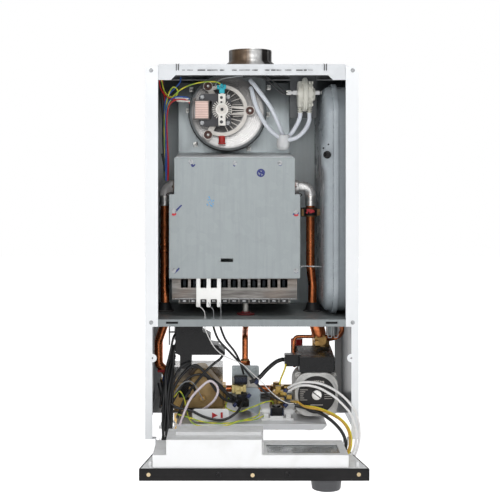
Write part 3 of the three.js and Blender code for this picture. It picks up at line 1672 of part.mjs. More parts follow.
function crossoverPipe() {
  return rod('x', [portDepth, crossoverHeight], blockRight + seat, coldX - inletBodyRadius - seat,
    crossoverRadius, 12);
}

function coldInletValve() {
  const place = [coldX, portDepth];
  return cut(
    join(
      portStub(coldX, tapPortRadius, inletTop),
      rod('z', place, plateHeight + portClearance, inletTop, inletBodyRadius, 16),
      rod('z', place, inletCollarBottom, inletCollarBottom + inletCollarHeight,
        inletCollarRadius, 6),
      rod('z', place, inletTop - inletCapHeight, inletTop + inletCapHeight, inletCapRadius, 6),
      rod('x', [fillDepth, fillHeight], coldX, pumpX - housingRadius - seat, fillRadius, 12),
    ),
    portBore(coldX),
  );
}

function ignitionBox() {
  const height = ignitionTop - ignitionBottom;
  const plan = outline(ignitionShares.map(([across, up]) =>
    [ignitionLeft + across * ignitionWidth, ignitionBottom + up * height]));
  return prism('y', plan, ignitionRear, ignitionFront);
}

// Control panel

function panelPlan(inset) {
  const slope = (casingWidth / 2 - panelRearHalfWidth) / (panelFront - panelRear);
  const halfAt = (depth) => casingWidth / 2 - slope * (panelFront - depth) - inset;
  const [front, rear] = [panelFront - inset, panelRear + inset];
  return outline([[-halfAt(front), front], [halfAt(front), front], [halfAt(rear), rear],
    [-halfAt(rear), rear]]);
}

function panelFascia() {
  return cut(
    prism('z', panelPlan(0), panelFace, panelTop),
    prism('z', panelPlan(panelWall), panelFace + panelWall, panelTop + overrun),
    rod('z', [knobX, knobDepth], panelFace - overrun, panelFace + panelWall + overrun,
      knobShaftRadius + seat, 16),
  );
}

function hingeEar(side) {
  const inner = side * (hingeEarX - hingeGauge);
  const [left, right] = side < 0 ? [-hingeEarX, inner] : [inner, hingeEarX];
  const foot = panelTop + seat;
  const shape = outline([
    [panelRear + hingeEarFoot, panelTop - trayGauge], [panelRear + hingeEarFoot, foot],
    [hingeDepth, hinge + hingeEarRadius], [hingeDepth, hinge - hingeEarRadius],
    [panelRear, foot], [panelRear + panelWall + seat, foot],
    [panelRear + panelWall + seat, panelTop - trayGauge],
  ]);
  return join(
    prism('x', shape, left, right),
    rod('x', [hingeDepth, hinge], left, right, hingeEarRadius, 16),
  );
}

function latchPost(side) {
  const [inner, outer] = [side * postLeft, side * (postLeft + postWidth)];
  return block(Math.min(inner, outer), Math.max(inner, outer), postDepth - postLength / 2,
    postDepth + postLength / 2, panelTop - trayGauge, panelTop + postHeight);
}

function panelTray() {
  const inset = panelWall + seat;
  const foot = panelFace + panelWall + seat;
  const shell = cut(
    prism('z', panelPlan(inset), foot, panelTop),
    prism('z', panelPlan(inset + trayGauge), foot - overrun, panelTop - trayGauge),
  );
  const pinHole = rod('x', [hingeDepth, hinge], -casingWidth / 2, casingWidth / 2,
    hingePinRadius + seat, 12);
  return cut(join(shell, ...bothSides(hingeEar), ...bothSides(latchPost)), pinHole);
}

function tower(inset) {
  const front = panelFront - panelWall - seat;
  const rear = towerRear + inset;
  const lower = outline([
    [towerLeft + inset, front - inset], [towerRightFront - inset, front - inset],
    [towerRightRear - inset, rear], [towerLeft + inset, rear],
  ]);
  const upper = outline([
    [towerCrownLeft + inset, towerStep - inset], [towerRightFront - inset, towerStep - inset],
    [towerRightRear - inset, rear], [towerCrownLeft + inset, rear],
  ]);
  const foot = coverTop - coverWall - (inset > 0 ? overrun : 0);
  return join(
    prism('z', lower, foot, towerTop - inset),
    prism('z', upper, foot, towerCrown - inset),
  );
}

function panelCover() {
  const front = panelFront - panelWall - seat;
  const foot = panelTop + seat;
  return cut(
    join(block(coverLeft, coverRight, coverRear, front, foot, coverTop), tower(0)),
    block(coverLeft + coverWall, coverRight - coverWall, coverRear + coverWall, front - coverWall,
      foot - overrun, coverTop - coverWall),
    tower(coverWall),
    block(windowLeft, windowRight, windowRear, windowFront, coverTop - coverWall - overrun,
      coverTop + overrun),
  );
}

function panelWindow() {
  const top = coverTop - coverWall - seat;
  return block(windowLeft - windowRim, windowRight + windowRim, windowRear - windowRim,
    windowFront + windowRim, top - windowThickness, top);
}

function panelBoard() {
  const top = coverTop - coverWall - boardDrop;
  const foot = panelTop + seat;
  const terminals = block(terminalLeft, terminalLeft + terminalWidth, terminalFront - terminalDepth,
    terminalFront, top - boardThickness / 2, top + terminalHeight);
  const posts = [windowLeft, windowRight].flatMap((x) => [windowRear, windowFront].map((depth) =>
    rod('z', [x, depth], foot, top - boardThickness / 2, boardPostRadius, 8)));
  return join(
    block(windowLeft - windowRim, windowRight + windowRim, windowRear - windowRim,
      windowFront + windowRim, top - boardThickness, top),
    terminals,
    ...posts,
  );
}

function panelKnob() {
  const place = [knobX, knobDepth];
  const top = panelFace - seat;
  const bottom = top - knobLength;
  return cut(
    join(
      rod('z', place, bottom, top, knobFaceRadius, 28, knobRadius),
      rod('z', place, bottom, panelFace + knobShaftLength, knobShaftRadius, 12),
    ),
    block(knobX - knobMarkWidth / 2, knobX + knobMarkWidth / 2, knobDepth,
      knobDepth + knobMarkLength, bottom - overrun, bottom + knobMarkDepth),
  );
}

// Leads

function panelHarness() {
  const start = [coverLeft + harnessInset, coverRear - seat, coverTop - harnessLift];
  const end = [ignitionLeft - harnessRadius - 2 * seat, ignitionFront - harnessSetback, harnessTop];
  return lead([start, ...between(start, end, harnessShares), end], harnessRadius, 15, 10);
}

function pumpLead() {
  const start = [terminalBoxLeft - plugWidth - seat, (plugRear + plugFront) / 2,
    (plugBottom + plugTop) / 2];
  const end = [gasX + pumpLeadShift, gasCoilFront + pumpLeadProud,
    gasCoilTop - 2 * pumpLeadRadius];
  const straight = [start[0] - pumpLeadRadius / 2, start[1], start[2]];
  return lead([start, straight, ...between(start, end, pumpLeadShares), end], pumpLeadRadius, 12);
}

// Assembly

const finishes = {
  lacquer: { colour: 0xe4e6e8, roughness: 0.4, metalness: 0.1 },
  galvanised: { colour: 0xb4babc, roughness: 0.5, metalness: 0.6 },
  steel: { colour: 0xb8b4ae, roughness: 0.3, metalness: 1 },
  castAlloy: { colour: 0xc4c0b6, roughness: 0.5, metalness: 0.7 },
  cream: { colour: 0xe0d6c6, roughness: 0.55 },
  laminate: { colour: 0x2c2c2e, roughness: 0.6, metalness: 0.4 },
  bobbin: { colour: 0xd8a49a, roughness: 0.6 },
  copper: { colour: 0xb8683e, roughness: 0.3, metalness: 1 },
  brass: { colour: 0xb48c46, roughness: 0.35, metalness: 1 },
  nickel: { colour: 0xdcdcda, roughness: 0.2, metalness: 1 },
  ceramic: { colour: 0xe8e6e0, roughness: 0.5 },
  black: { colour: 0x1c1c1e, roughness: 0.55 },
  red: { colour: 0xb41e22, roughness: 0.5 },
  vessel: { colour: 0xc8cccf, roughness: 0.4, metalness: 0.2 },
  white: { colour: 0xeceded, roughness: 0.5 },
  glassy: { colour: 0xe6eef0, roughness: 0.12, opacity: 0.35 },
  silicone: { colour: 0xdfe3ea, roughness: 0.35 },
  board: { colour: 0x7c8484, roughness: 0.6 },
  goldShell: { colour: 0x9c8048, roughness: 0.45, metalness: 0.5 },
  regulator: { colour: 0xe2cc84, roughness: 0.5 },
};

const boiler = new THREE.Group();
boiler.name = 'gas_boiler';
boiler.position.set(0, 0, -hangHeight);

function place(name, body, finish) {
  boiler.add(part(name, body, finishes[finish]));
}

const side = sidePanel();
place('left_side_panel', mirrored(side), 'lacquer');
place('right_side_panel', side, 'lacquer');
place('top_panel', topPanel(), 'lacquer');
place('back_panel', backPanel(), 'galvanised');
place('chamber_floor', chamberFloor(), 'galvanised');
place('lower_rail', lowerRail(), 'galvanised');
place('bottom_plate', bottomPlate(), 'galvanised');
place('flue_collar', flueCollar(), 'steel');
place('smoke_hood', smokeHood(), 'galvanised');
place('fan_scroll', fanScroll(), 'galvanised');
place('fan_front_plate', fanFrontPlate(), 'galvanised');
place('fan_impeller', fanImpeller(), 'galvanised');
place('fan_rotor', fanRotor(), 'laminate');
place('fan_motor_bracket', fanMotorBracket(), 'cream');
place('fan_motor_core', fanMotorCore(), 'laminate');
place('fan_coil', fanCoil(), 'bobbin');
place('fan_bearing_bridge', fanBearingBridge(), 'cream');
place('combustion_cover', combustionCover(), 'galvanised');
place('combustion_box', combustionBox(), 'galvanised');
place('heat_exchanger', heatExchanger(), 'copper');
place('burner', burner(), 'steel');
place('gas_manifold', gasManifold(), 'castAlloy');
place('electrode_block', electrodeBlock(), 'ceramic');
place('left_elbow', elbow(-1, leftPipeX), 'nickel');
place('right_elbow', elbow(1, rightPipeX), 'nickel');
place('left_pipe', leftPipe(), 'copper');
place('right_pipe', rightPipe(), 'copper');
place('limit_thermostat', limitThermostat(), 'black');
place('expansion_vessel', expansionVessel(), 'vessel');
place('vessel_pipe', vesselPipe(), 'copper');
place('pressure_switch', pressureSwitch(), 'white');
place('pressure_switch_bracket', pressureSwitchBracket(), 'galvanised');
place('sensing_hose_lower', sensingHose(0), 'silicone');
place('sensing_hose_upper', sensingHose(1), 'silicone');
place('condensate_capsule', condensateCapsule(), 'silicone');
place('pump_motor', pumpMotor(), 'castAlloy');
place('pump_terminal_box', pumpTerminalBox(), 'black');
place('pump_volute', pumpVolute(), 'castAlloy');
place('return_manifold', returnManifold(), 'brass');
place('relief_tube', reliefTube(), 'copper');
place('safety_valve', safetyValve(), 'black');
place('safety_valve_knob', safetyValveKnob(), 'red');
place('gas_valve', gasValve(), 'castAlloy');
place('gas_coil', gasCoil(), 'black');
place('gas_regulator', gasRegulator(), 'regulator');
place('gas_pipe', gasPipe(), 'copper');
place('left_manifold', leftManifold(), 'brass');
place('diverter_dome', diverterDome(), 'goldShell');
place('plate_exchanger', plateExchanger(), 'steel');
place('crossover_pipe', crossoverPipe(), 'copper');
place('cold_inlet_valve', coldInletValve(), 'brass');
place('ignition_box', ignitionBox(), 'black');
place('panel_fascia', panelFascia(), 'black');
place('panel_tray', panelTray(), 'white');
place('panel_cover', panelCover(), 'white');
place('panel_window', panelWindow(), 'glassy');
place('panel_board', panelBoard(), 'board');
place('panel_knob', panelKnob(), 'black');
place('panel_harness', panelHarness(), 'black');
place('pump_lead', pumpLead(), 'black');

export default boiler;
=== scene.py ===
"""A wall-hung gas boiler with its cover off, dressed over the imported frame."""

import json
import math

import bmesh
import bpy
from mathutils import Matrix, Vector

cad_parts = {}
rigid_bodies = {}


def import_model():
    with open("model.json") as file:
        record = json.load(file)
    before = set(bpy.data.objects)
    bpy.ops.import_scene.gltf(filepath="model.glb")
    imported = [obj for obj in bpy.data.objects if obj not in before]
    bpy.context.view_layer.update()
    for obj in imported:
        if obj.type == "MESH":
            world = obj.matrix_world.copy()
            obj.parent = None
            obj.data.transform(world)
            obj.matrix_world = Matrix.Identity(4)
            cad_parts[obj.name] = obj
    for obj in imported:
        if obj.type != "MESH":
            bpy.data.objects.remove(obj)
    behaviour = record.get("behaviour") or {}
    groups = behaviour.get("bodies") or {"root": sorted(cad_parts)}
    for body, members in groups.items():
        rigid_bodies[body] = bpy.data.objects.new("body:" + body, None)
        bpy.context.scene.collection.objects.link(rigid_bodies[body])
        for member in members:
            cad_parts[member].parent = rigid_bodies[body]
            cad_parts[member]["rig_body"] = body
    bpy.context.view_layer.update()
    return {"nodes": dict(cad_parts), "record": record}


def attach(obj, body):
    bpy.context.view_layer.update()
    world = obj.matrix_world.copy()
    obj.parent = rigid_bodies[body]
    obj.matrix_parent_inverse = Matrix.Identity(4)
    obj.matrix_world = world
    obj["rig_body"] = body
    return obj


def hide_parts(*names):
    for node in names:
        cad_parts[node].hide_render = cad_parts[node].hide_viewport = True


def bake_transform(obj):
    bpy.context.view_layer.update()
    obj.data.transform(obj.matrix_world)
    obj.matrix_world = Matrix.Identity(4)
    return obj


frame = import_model()
NODES = frame["nodes"]

MILLIMETRE = 0.001
HANG_HEIGHT = 650
UP = (0, 0, 1)
OUT = (0, -1, 0)
RIGHT = (1, 0, 0)


def at(x, depth, height):
    """A point from millimetres across, out from the wall and above the casing's lower edge."""
    return Vector((x, -depth, height - HANG_HEIGHT)) * MILLIMETRE


# Camera


def make_camera():
    camera = bpy.data.objects.new("photo_camera", bpy.data.cameras.new("photo_camera"))
    bpy.context.scene.collection.objects.link(camera)
    camera.location = at(-55, 2280, 490.7)
    camera.rotation_euler = (math.radians(90), 0, 0)
    camera.data.lens = 77
    camera.data.sensor_width = 36
    camera.data.shift_x = 0.055
    camera.data.shift_y = -0.146
    camera.data.clip_end = 30
    bpy.context.scene.camera = camera


make_camera()


# Shaping helpers, whose places and sizes are in millimetres


def add_mesh(name, mesh):
    piece = bpy.data.objects.new(name, mesh)
    bpy.context.scene.collection.objects.link(piece)
    return piece


def shade(bm, angle):
    """Smooth faces, with a crease along each edge that is sharper than the angle."""
    for face in bm.faces:
        face.smooth = True
    for edge in sharp_edges(bm, angle):
        edge.smooth = False


def sharp_edges(bm, angle):
    limit = math.radians(angle)
    return [e for e in bm.edges if len(e.link_faces) == 2 and e.calc_face_angle(0) > limit]


def as_piece(name, bm):
    mesh = bpy.data.meshes.new(name)
    bm.to_mesh(mesh)
    bm.free()
    return add_mesh(name, mesh)


def finished(name, bm, angle=35):
    """A piece from a bmesh, smooth except along edges sharper than the angle."""
    bmesh.ops.recalc_face_normals(bm, faces=bm.faces)
    shade(bm, angle)
    return as_piece(name, bm)


def stations_through(places, count):
    """Evenly spread points, in metres, on a smooth curve through the given places."""
    points = [at(*place) for place in places]
    spans = len(points) - 1
    padded = [2 * points[0] - points[1], *points, 2 * points[-1] - points[-2]]
    steps = max(3, round(count / spans))
    found = []
    for i in range(spans):
        a, b, c, d = padded[i : i + 4]
        for step in range(steps):
            t = step / steps
            bend = (2 * a - 5 * b + 4 * c - d) * t**2 + (3 * b - a - 3 * c + d) * t**3
            found.append((2 * b + (c - a) * t + bend) / 2)
    found.append(points[-1].copy())
    return found


def frames_along(line):
    """A turning pair of cross directions for each point of a line, without twist."""
    ahead = [
        (line[min(i + 1, len(line) - 1)] - line[max(i - 1, 0)]).normalized()
        for i in range(len(line))
    ]
    side = ahead[0].orthogonal().normalized()
    found = []
    for direction in ahead:
        side = (side - direction * side.dot(direction)).normalized()
        found.append((side.copy(), direction.cross(side)))
    return found


def ring_of(bm, centre, radius, side, up, sides):
    turns = [2 * math.pi * k / sides for k in range(sides)]
    return [
        bm.verts.new(centre + radius * (side * math.cos(turn) + up * math.sin(turn)))
        for turn in turns
    ]


def skin(bm, rings):
    """Closes a tube of equal rings, with a face on each end."""
    for low, high in zip(rings, rings[1:]):
        for k in range(len(low)):
            bm.faces.new((low[k - 1], low[k], high[k], high[k - 1]))
    bm.faces.new(rings[0])
    bm.faces.new(rings[-1])


def skin_with_poles(bm, rings, sides):
    """Closes a turned form, whose rings may be single points on the axis."""
    for low, high in zip(rings, rings[1:]):
        for k in range(sides):
            found = [low[(k - 1) % len(low)], low[k % len(low)]]
            found += [high[k % len(high)], high[(k - 1) % len(high)]]
            found = list(dict.fromkeys(found))
            if len(found) > 2:
                bm.faces.new(found)
    for ring in (rings[0], rings[-1]):
        if len(ring) > 2:
            bm.faces.new(ring)


def sweep(bm, line, radius, sides):
    """A closed tube. Its radius is one number, or a function of the share of the way."""
    rings = []
    for i, (point, (side, up)) in enumerate(zip(line, frames_along(line))):
        here = radius(i / (len(line) - 1)) if callable(radius) else radius
        rings.append(ring_of(bm, point, here * MILLIMETRE, side, up, sides))
    skin(bm, rings)


def spun(bm, place, axis, profile, sides):
    """A turned form: its profile is radius and place along the axis, from pole to pole."""
    axis = Vector(axis).normalized()
    side = axis.orthogonal().normalized()
    up = axis.cross(side)
    rings = []
    for radius, along in profile:
        middle = at(*place) + axis * (along * MILLIMETRE)
        if radius == 0:
            rings.append([bm.verts.new(middle)])
        else:
            rings.append(ring_of(bm, middle, radius * MILLIMETRE, side, up, sides))
    skin_with_poles(bm, rings, sides)


def eased(bm, edges, offset):
    bmesh.ops.bevel(
        bm, geom=edges, offset=offset * MILLIMETRE, segments=2, profile=0.5, affect="EDGES",
        clamp_overlap=True,
    )


def box_of(bm, x, depth, height, edge=0.4):
    """A block with eased edges, given by its spans."""
    low, high = at(x[0], depth[1], height[0]), at(x[1], depth[0], height[1])
    made = bmesh.ops.create_cube(bm, size=1)["verts"]
    size, middle = high - low, (high + low) / 2
    for vert in made:
        vert.co = Vector([vert.co[i] * size[i] + middle[i] for i in range(3)])
    eased(bm, list(dict.fromkeys(e for v in made for e in v.link_edges)), edge)


def rim(radius, low, high, edge):
    """The profile of a closed disc or collar with rounded rims."""
    return [
        (0, low), (radius - edge, low), (radius - edge * 0.3, low + edge * 0.3),
        (radius, low + edge), (radius, high - edge), (radius - edge * 0.3, high - edge * 0.3),
        (radius - edge, high), (0, high),
    ]


def bead(radius, low, high, pipe_radius):
    """The profile of a swelling on a pipe."""
    rise, span = radius - pipe_radius, high - low
    swell = [
        (pipe_radius + rise * math.sin(math.pi * i / 8), low + span * i / 8) for i in range(1, 8)
    ]
    return [(0, low), (pipe_radius, low), *swell, (pipe_radius, high), (0, high)]


def rod_between(bm, start, end, radius, sides=12):
    """A straight rod between two places."""
    way = at(*end) - at(*start)
    profile = rim(radius, 0, way.length / MILLIMETRE, min(radius * 0.3, 0.6))
    spun(bm, start, way, profile, sides)


def plate(bm, outline, rear, front):
    """A flat plate across the depth, from an outline of X and height."""
    back, face = [[bm.verts.new(at(x, depth, z)) for x, z in outline] for depth in (rear, front)]
    bm.faces.new(back)
    bm.faces.new(face)
    for i in range(len(back)):
        bm.faces.new((back[i - 1], back[i], face[i], face[i - 1]))


def about(centre, radius, degrees):
    turn = math.radians(degrees)
    return centre[0] + radius * math.cos(turn), centre[1] + radius * math.sin(turn)


# Shader helpers


class Amount:
    """One socket of a node tree, on which sums can be written out."""

    def __init__(self, finish, socket):
        self.finish = finish
        self.socket = socket

    def math(self, operation, *values):
        return self.finish.node(
            "ShaderNodeMath", {"operation": operation}, dict(enumerate(values))
        )

    def __add__(self, other):
        return self.math("ADD", self, other)

    __radd__ = __add__

    def __mul__(self, other):
        return self.math("MULTIPLY", self, other)

    __rmul__ = __mul__

    def __rsub__(self, other):
        return self.math("SUBTRACT", other, self)

    def wave(self):
        return self.math("SINE", self)

    def between(self, low, high):
        """0 below the first number, 1 above the second, and smooth between them."""
        settings = {"interpolation_type": "SMOOTHSTEP"}
        return self.finish.node(
            "ShaderNodeMapRange", settings, {"Value": self, "From Min": low, "From Max": high}
        )


class Finish:
    """A material on one Principled shader, whose constants are set on its own sockets."""

    def __init__(self, name, **constants):
        self.material = bpy.data.materials.new(name)
        self.material.use_nodes = True
        self.tree = self.material.node_tree
        self.shader = self.tree.nodes["Principled BSDF"]
        for socket, value in constants.items():
            self.shader.inputs[socket.replace("_", " ")].default_value = value

    def node(self, kind, settings=None, sockets=None, output=0):
        made = self.tree.nodes.new(kind)
        for key, value in (settings or {}).items():
            setattr(made, key, value)
        for key, value in (sockets or {}).items():
            if isinstance(value, Amount):
                self.tree.links.new(value.socket, made.inputs[key])
            else:
                made.inputs[key].default_value = value
        return Amount(self, made.outputs[output])

    def place(self, stretch=(1, 1, 1)):
        """The point on the object in metres, stretched for streaks."""
        here = self.node("ShaderNodeTexCoord", output="Object")
        if stretch == (1, 1, 1):
            return here
        return self.node("ShaderNodeMapping", {}, {"Vector": here, "Scale": stretch})

    def noise(self, scale, detail=3, roughness=0.55, stretch=(1, 1, 1), distortion=0.0):
        return self.node(
            "ShaderNodeTexNoise",
            {},
            {
                "Vector": self.place(stretch),
                "Scale": scale,
                "Detail": detail,
                "Roughness": roughness,
                "Distortion": distortion,
            },
        )

    def cells(self, scale):
        """A tone that differs from cell to cell."""
        sockets = {"Vector": self.place(), "Scale": scale}
        colour = self.node("ShaderNodeTexVoronoi", {}, sockets, output="Color")
        return self.node("ShaderNodeSeparateColor", {}, {0: colour})

    def mix(self, share, first, second):
        first, second = [c if isinstance(c, Amount) else (*c, 1) for c in (first, second)]
        settings = {"data_type": "RGBA"}
        return self.node("ShaderNodeMix", settings, {0: share, 6: first, 7: second}, output=2)

    def part(self, vector, axis):
        return self.node("ShaderNodeSeparateXYZ", {}, {0: vector}, output=axis)

    def facing(self, axis):
        return self.part(self.node("ShaderNodeNewGeometry", output="Normal"), axis)

    def along(self, axis):
        return self.part(self.place(), axis)

    def away_from(self, *middle):
        """The way to this point from a place in millimetres."""
        sockets = {0: self.place(), 1: at(*middle)}
        return self.node("ShaderNodeVectorMath", {"operation": "SUBTRACT"}, sockets)

    def length(self, vector):
        return self.node("ShaderNodeVectorMath", {"operation": "LENGTH"}, {0: vector}, output=1)

    def bump(self, height, depth, strength):
        sockets = {"Height": height, "Distance": depth, "Strength": strength}
        return self.node("ShaderNodeBump", {}, sockets)

    def wire(self, **sockets):
        for socket, value in sockets.items():
            self.tree.links.new(value.socket, self.shader.inputs[socket.replace("_", " ")])
        return self.material


# Finishes


def dusted(finish, colour, amount):
    """A colour with a little pale dust on the faces that look up."""
    dust = finish.facing(2).between(0.55, 0.95) * finish.noise(55, 4).between(0.35, 0.75)
    return finish.mix(dust * amount, colour, (0.55, 0.54, 0.52))


def side_lacquer_finish():
    """White stove lacquer, with painted shade: dark grey on the faces that look inwards."""
    finish = Finish("side_lacquer", Coat_Weight=0.25, Coat_Roughness=0.12)
    smudge = finish.noise(7, 4).between(0.4, 0.72)
    streak = finish.noise(26, 3, stretch=(3, 3, 0.25)).between(0.5, 0.85)
    colour = finish.mix(smudge * 0.5, (0.80, 0.815, 0.83), (0.745, 0.765, 0.785))
    colour = finish.mix(streak * 0.18, colour, (0.66, 0.67, 0.68))
    # Painted shade: the faces that look inwards are darkened to dark grey.
    inward = (finish.facing(0) * finish.along(0) * -1).between(0.05, 0.12)
    colour = finish.mix(inward, colour, (0.13, 0.142, 0.155))
    return finish.wire(
        Base_Color=dusted(finish, colour, 0.3),
        Roughness=0.3 + finish.noise(14, 4) * 0.16 + smudge * 0.06,
        Normal=finish.bump(finish.noise(900, 2, 0.5), 0.00006, 0.5),
    )


def galvanised_finish(name="galvanised", tone_share=1.0, painted_top_shadow=0.0):
    """Zinc-coated sheet. Painted shadow darkens its front towards the top, and painted light keeps
    its ledges pale.
    """
    finish = Finish(name, Metallic=0.55, Specular_IOR_Level=0.4)
    light, pale, dull, stained = [
        tuple(tone_share * c for c in colour)
        for colour in ((0.40, 0.44, 0.45), (0.47, 0.51, 0.52), (0.34, 0.37, 0.385),
                       (0.31, 0.315, 0.30))
    ]
    tone = finish.cells(75)
    streak = finish.noise(160, 3, stretch=(1, 1, 0.06))
    stain = finish.noise(12, 5, 0.65, distortion=0.6).between(0.58, 0.8)
    colour = finish.mix(tone * 0.5, light, pale)
    colour = finish.mix(streak.between(0.42, 0.75) * 0.3, colour, dull)
    colour = finish.mix(stain * 0.3, colour, stained)
    # Painted shadow on the front towards the top, and painted light on the ledges that look up.
    if painted_top_shadow:
        front = (finish.facing(1) * -1).between(-0.2, 0.3)
        top_shadow_mask = finish.along(2).between(-0.055, 0.02) * front * painted_top_shadow
        colour = finish.mix(top_shadow_mask, colour, (0.045, 0.05, 0.052))
        ledge_painted_light = finish.facing(2).between(0.85, 0.97) * 0.8
        colour = finish.mix(ledge_painted_light, colour, (0.92, 0.93, 0.94))
    return finish.wire(
        Base_Color=dusted(finish, colour, 0.3),
        Roughness=0.36 + tone * 0.1 + streak * 0.12 + stain * 0.12,
        Normal=finish.bump(streak + finish.noise(1500, 2) * 0.5, 0.00005, 0.5),
    )


def steel_finish():
    finish = Finish("steel", Metallic=1.0)
    brushed = finish.noise(220, 3, stretch=(1, 1, 14))
    blotch = finish.noise(20, 4).between(0.45, 0.75)
    warm = finish.noise(9, 3, stretch=(2.5, 2.5, 0.3)).between(0.45, 0.7)
    colour = finish.mix(warm * 0.45, (0.66, 0.655, 0.65), (0.55, 0.50, 0.45))
    colour = finish.mix(blotch * 0.25, colour, (0.43, 0.42, 0.41))
    return finish.wire(
        Base_Color=colour,
        Roughness=0.17 + brushed * 0.14 + blotch * 0.1,
        Normal=finish.bump(brushed, 0.00004, 0.5),
    )


def cast_finish(name, light, dark, metallic, roughness, grain=420):
    """A sand-cast or die-cast skin: fine pits, tumbled tone and darker hollows."""
    finish = Finish(name, Metallic=metallic)
    pits = finish.noise(grain, 4, 0.6)
    blotch = finish.noise(38, 5, 0.6).between(0.36, 0.72)
    colour = finish.mix(blotch * 0.8, light, dark)
    colour = finish.mix(pits.between(0.56, 0.72) * 0.4, colour, tuple(c * 0.6 for c in dark))
    return finish.wire(
        Base_Color=dusted(finish, colour, 0.25),
        Roughness=roughness + blotch * 0.12 + pits * 0.1,
        Normal=finish.bump(pits, 0.00025, 0.6),
    )


def pipe_metal(name, light, dark, spot, roughness):
    """Drawn metal pipe: long streaks, handling stains and a few dark specks."""
    finish = Finish(name, Metallic=1.0)
    streak = finish.noise(140, 3, stretch=(1, 1, 0.12))
    stain = finish.noise(34, 5, 0.62, distortion=0.5).between(0.42, 0.72)
    speck = finish.noise(330, 3).between(0.64, 0.7)
    colour = finish.mix(stain * 0.75, light, dark)
    colour = finish.mix(streak.between(0.45, 0.8) * 0.3, colour, dark)
    colour = finish.mix(speck * 0.6, colour, spot)
    return finish.wire(
        Base_Color=colour,
        Roughness=roughness + stain * 0.16 + streak * 0.08 + speck * 0.1,
        Normal=finish.bump(streak + finish.noise(420, 3) * 0.6, 0.00008, 0.5),
    )


def moulded(name, colour, shade, roughness, grain=1100, depth=0.00006, **constants):
    """Moulded plastic: a fine spark-eroded grain, slight flow marks and some dust."""
    finish = Finish(name, **constants)
    flow = finish.noise(24, 3, distortion=0.4).between(0.4, 0.75)
    fine = finish.noise(grain, 2)
    return finish.wire(
        Base_Color=dusted(finish, finish.mix(flow * 0.6, colour, shade), 0.3),
        Roughness=roughness + flow * 0.1 + fine * 0.08,
        Normal=finish.bump(fine, depth, 0.5),
    )


def laminate_finish():
    finish = Finish("laminate", Metallic=0.35)
    layers = (finish.along(1) * (2 * math.pi / 0.001)).wave()
    rust = finish.noise(160, 4).between(0.58, 0.75)
    colour = finish.mix(layers.between(-0.2, 0.9), (0.018, 0.018, 0.02), (0.055, 0.055, 0.06))
    colour = finish.mix(rust * 0.35, colour, (0.11, 0.07, 0.05))
    return finish.wire(
        Base_Color=colour,
        Roughness=0.42 + rust * 0.25,
        Normal=finish.bump(layers + finish.noise(900, 2) * 0.6, 0.00012, 0.6),
    )


def winding_finish():
    finish = Finish("bobbin")
    turns = (finish.along(2) * (2 * math.pi / 0.0046)).wave()
    colour = finish.mix(turns.between(-0.9, 0.2), (0.70, 0.48, 0.42), (0.86, 0.64, 0.57))
    colour = finish.mix(finish.noise(90, 4).between(0.45, 0.7) * 0.5, colour, (0.72, 0.50, 0.44))
    return finish.wire(
        Base_Color=colour,
        Roughness=0.5 + finish.noise(200, 3) * 0.2,
        Normal=finish.bump(turns, 0.0004, 0.7),
    )


def sheathing(name, colour, shade):
    """The insulation of a lead, with faint scuffs and a trace of dirt."""
    finish = Finish(name, Coat_Weight=0.15, Coat_Roughness=0.3)
    scuff = finish.noise(120, 4).between(0.48, 0.72)
    return finish.wire(
        Base_Color=finish.mix(scuff * 0.55, colour, shade),
        Roughness=0.38 + scuff * 0.2,
        Normal=finish.bump(finish.noise(800, 2), 0.00004, 0.4),
    )


def milky_finish(name, colour, roughness, transmission, rim):
    """Clouded silicone or clear plastic, deeper in tone where it's thick."""
    finish = Finish(name, Transmission_Weight=transmission, IOR=1.43, Specular_IOR_Level=0.5)
    cloud = finish.noise(45, 4).between(0.35, 0.7)
    return finish.wire(
        Base_Color=finish.mix(cloud * 0.5, colour, rim),
        Roughness=roughness + cloud * 0.08,
        Normal=finish.bump(finish.noise(300, 2), 0.00004, 0.3),
    )


def board_finish():
    finish = Finish("board", Coat_Weight=0.4, Coat_Roughness=0.2)
    tone = finish.cells(420)
    track = finish.noise(180, 2, stretch=(1, 4, 1)).between(0.5, 0.54)
    colour = finish.mix(track * 0.6, (0.20, 0.235, 0.23), (0.33, 0.36, 0.34))
    colour = finish.mix(tone.between(0.8, 0.9) * 0.7, colour, (0.62, 0.60, 0.52))
    return finish.wire(
        Base_Color=colour,
        Roughness=0.42 + tone * 0.15,
        Normal=finish.bump(track + tone.between(0.8, 0.9), 0.00012, 0.5),
    )


def steel_painted_reflections_finish():
    """Thin rolled steel round an upright axis, with painted reflections: dark, pale, warm and
    bronze tones and one painted highlight that change with the angle round it.
    """
    finish = Finish("steel_painted_reflections", Metallic=0.75)
    here = finish.away_from(0.7, 136.8, 650)
    across, out = finish.part(here, 0), finish.part(here, 1)
    turn = finish.node("ShaderNodeMath", {"operation": "ARCTAN2"}, {0: across, 1: out * -1})
    # Painted reflections: the tone changes with the angle round the collar's axis.
    wide, narrow = (turn * 5 + 0.9).wave(), (turn * 13 + 2.1).wave()
    bands = wide * 0.6 + narrow * 0.4 + (turn * 29).wave() * 0.18
    warm = (turn * 3 + 2.4).wave().between(0.1, 0.9)
    colour = finish.mix(bands.between(-0.35, 0.6), (0.035, 0.03, 0.028), (0.46, 0.45, 0.44))
    colour = finish.mix(warm * 0.7, colour, (0.27, 0.19, 0.13))
    # A painted highlight in one sector, and a bronze painted reflection in another.
    bright = (turn + 0.12).between(0, 0.2) * (1 - (turn + 0.12).between(0.5, 0.72))
    colour = finish.mix(bright * 0.9, colour, (0.80, 0.80, 0.79))
    bronze = (turn + 1.15).between(0, 0.2) * (1 - (turn + 1.15).between(0.55, 0.75))
    colour = finish.mix(bronze * 0.75, colour, (0.25, 0.165, 0.10))
    stain = finish.noise(90, 4).between(0.45, 0.75)
    return finish.wire(
        Base_Color=finish.mix(stain * 0.3, colour, (0.08, 0.07, 0.06)),
        Roughness=0.32 + stain * 0.2,
        Normal=finish.bump(finish.noise(300, 3, stretch=(1, 1, 12)), 0.00004, 0.4),
    )


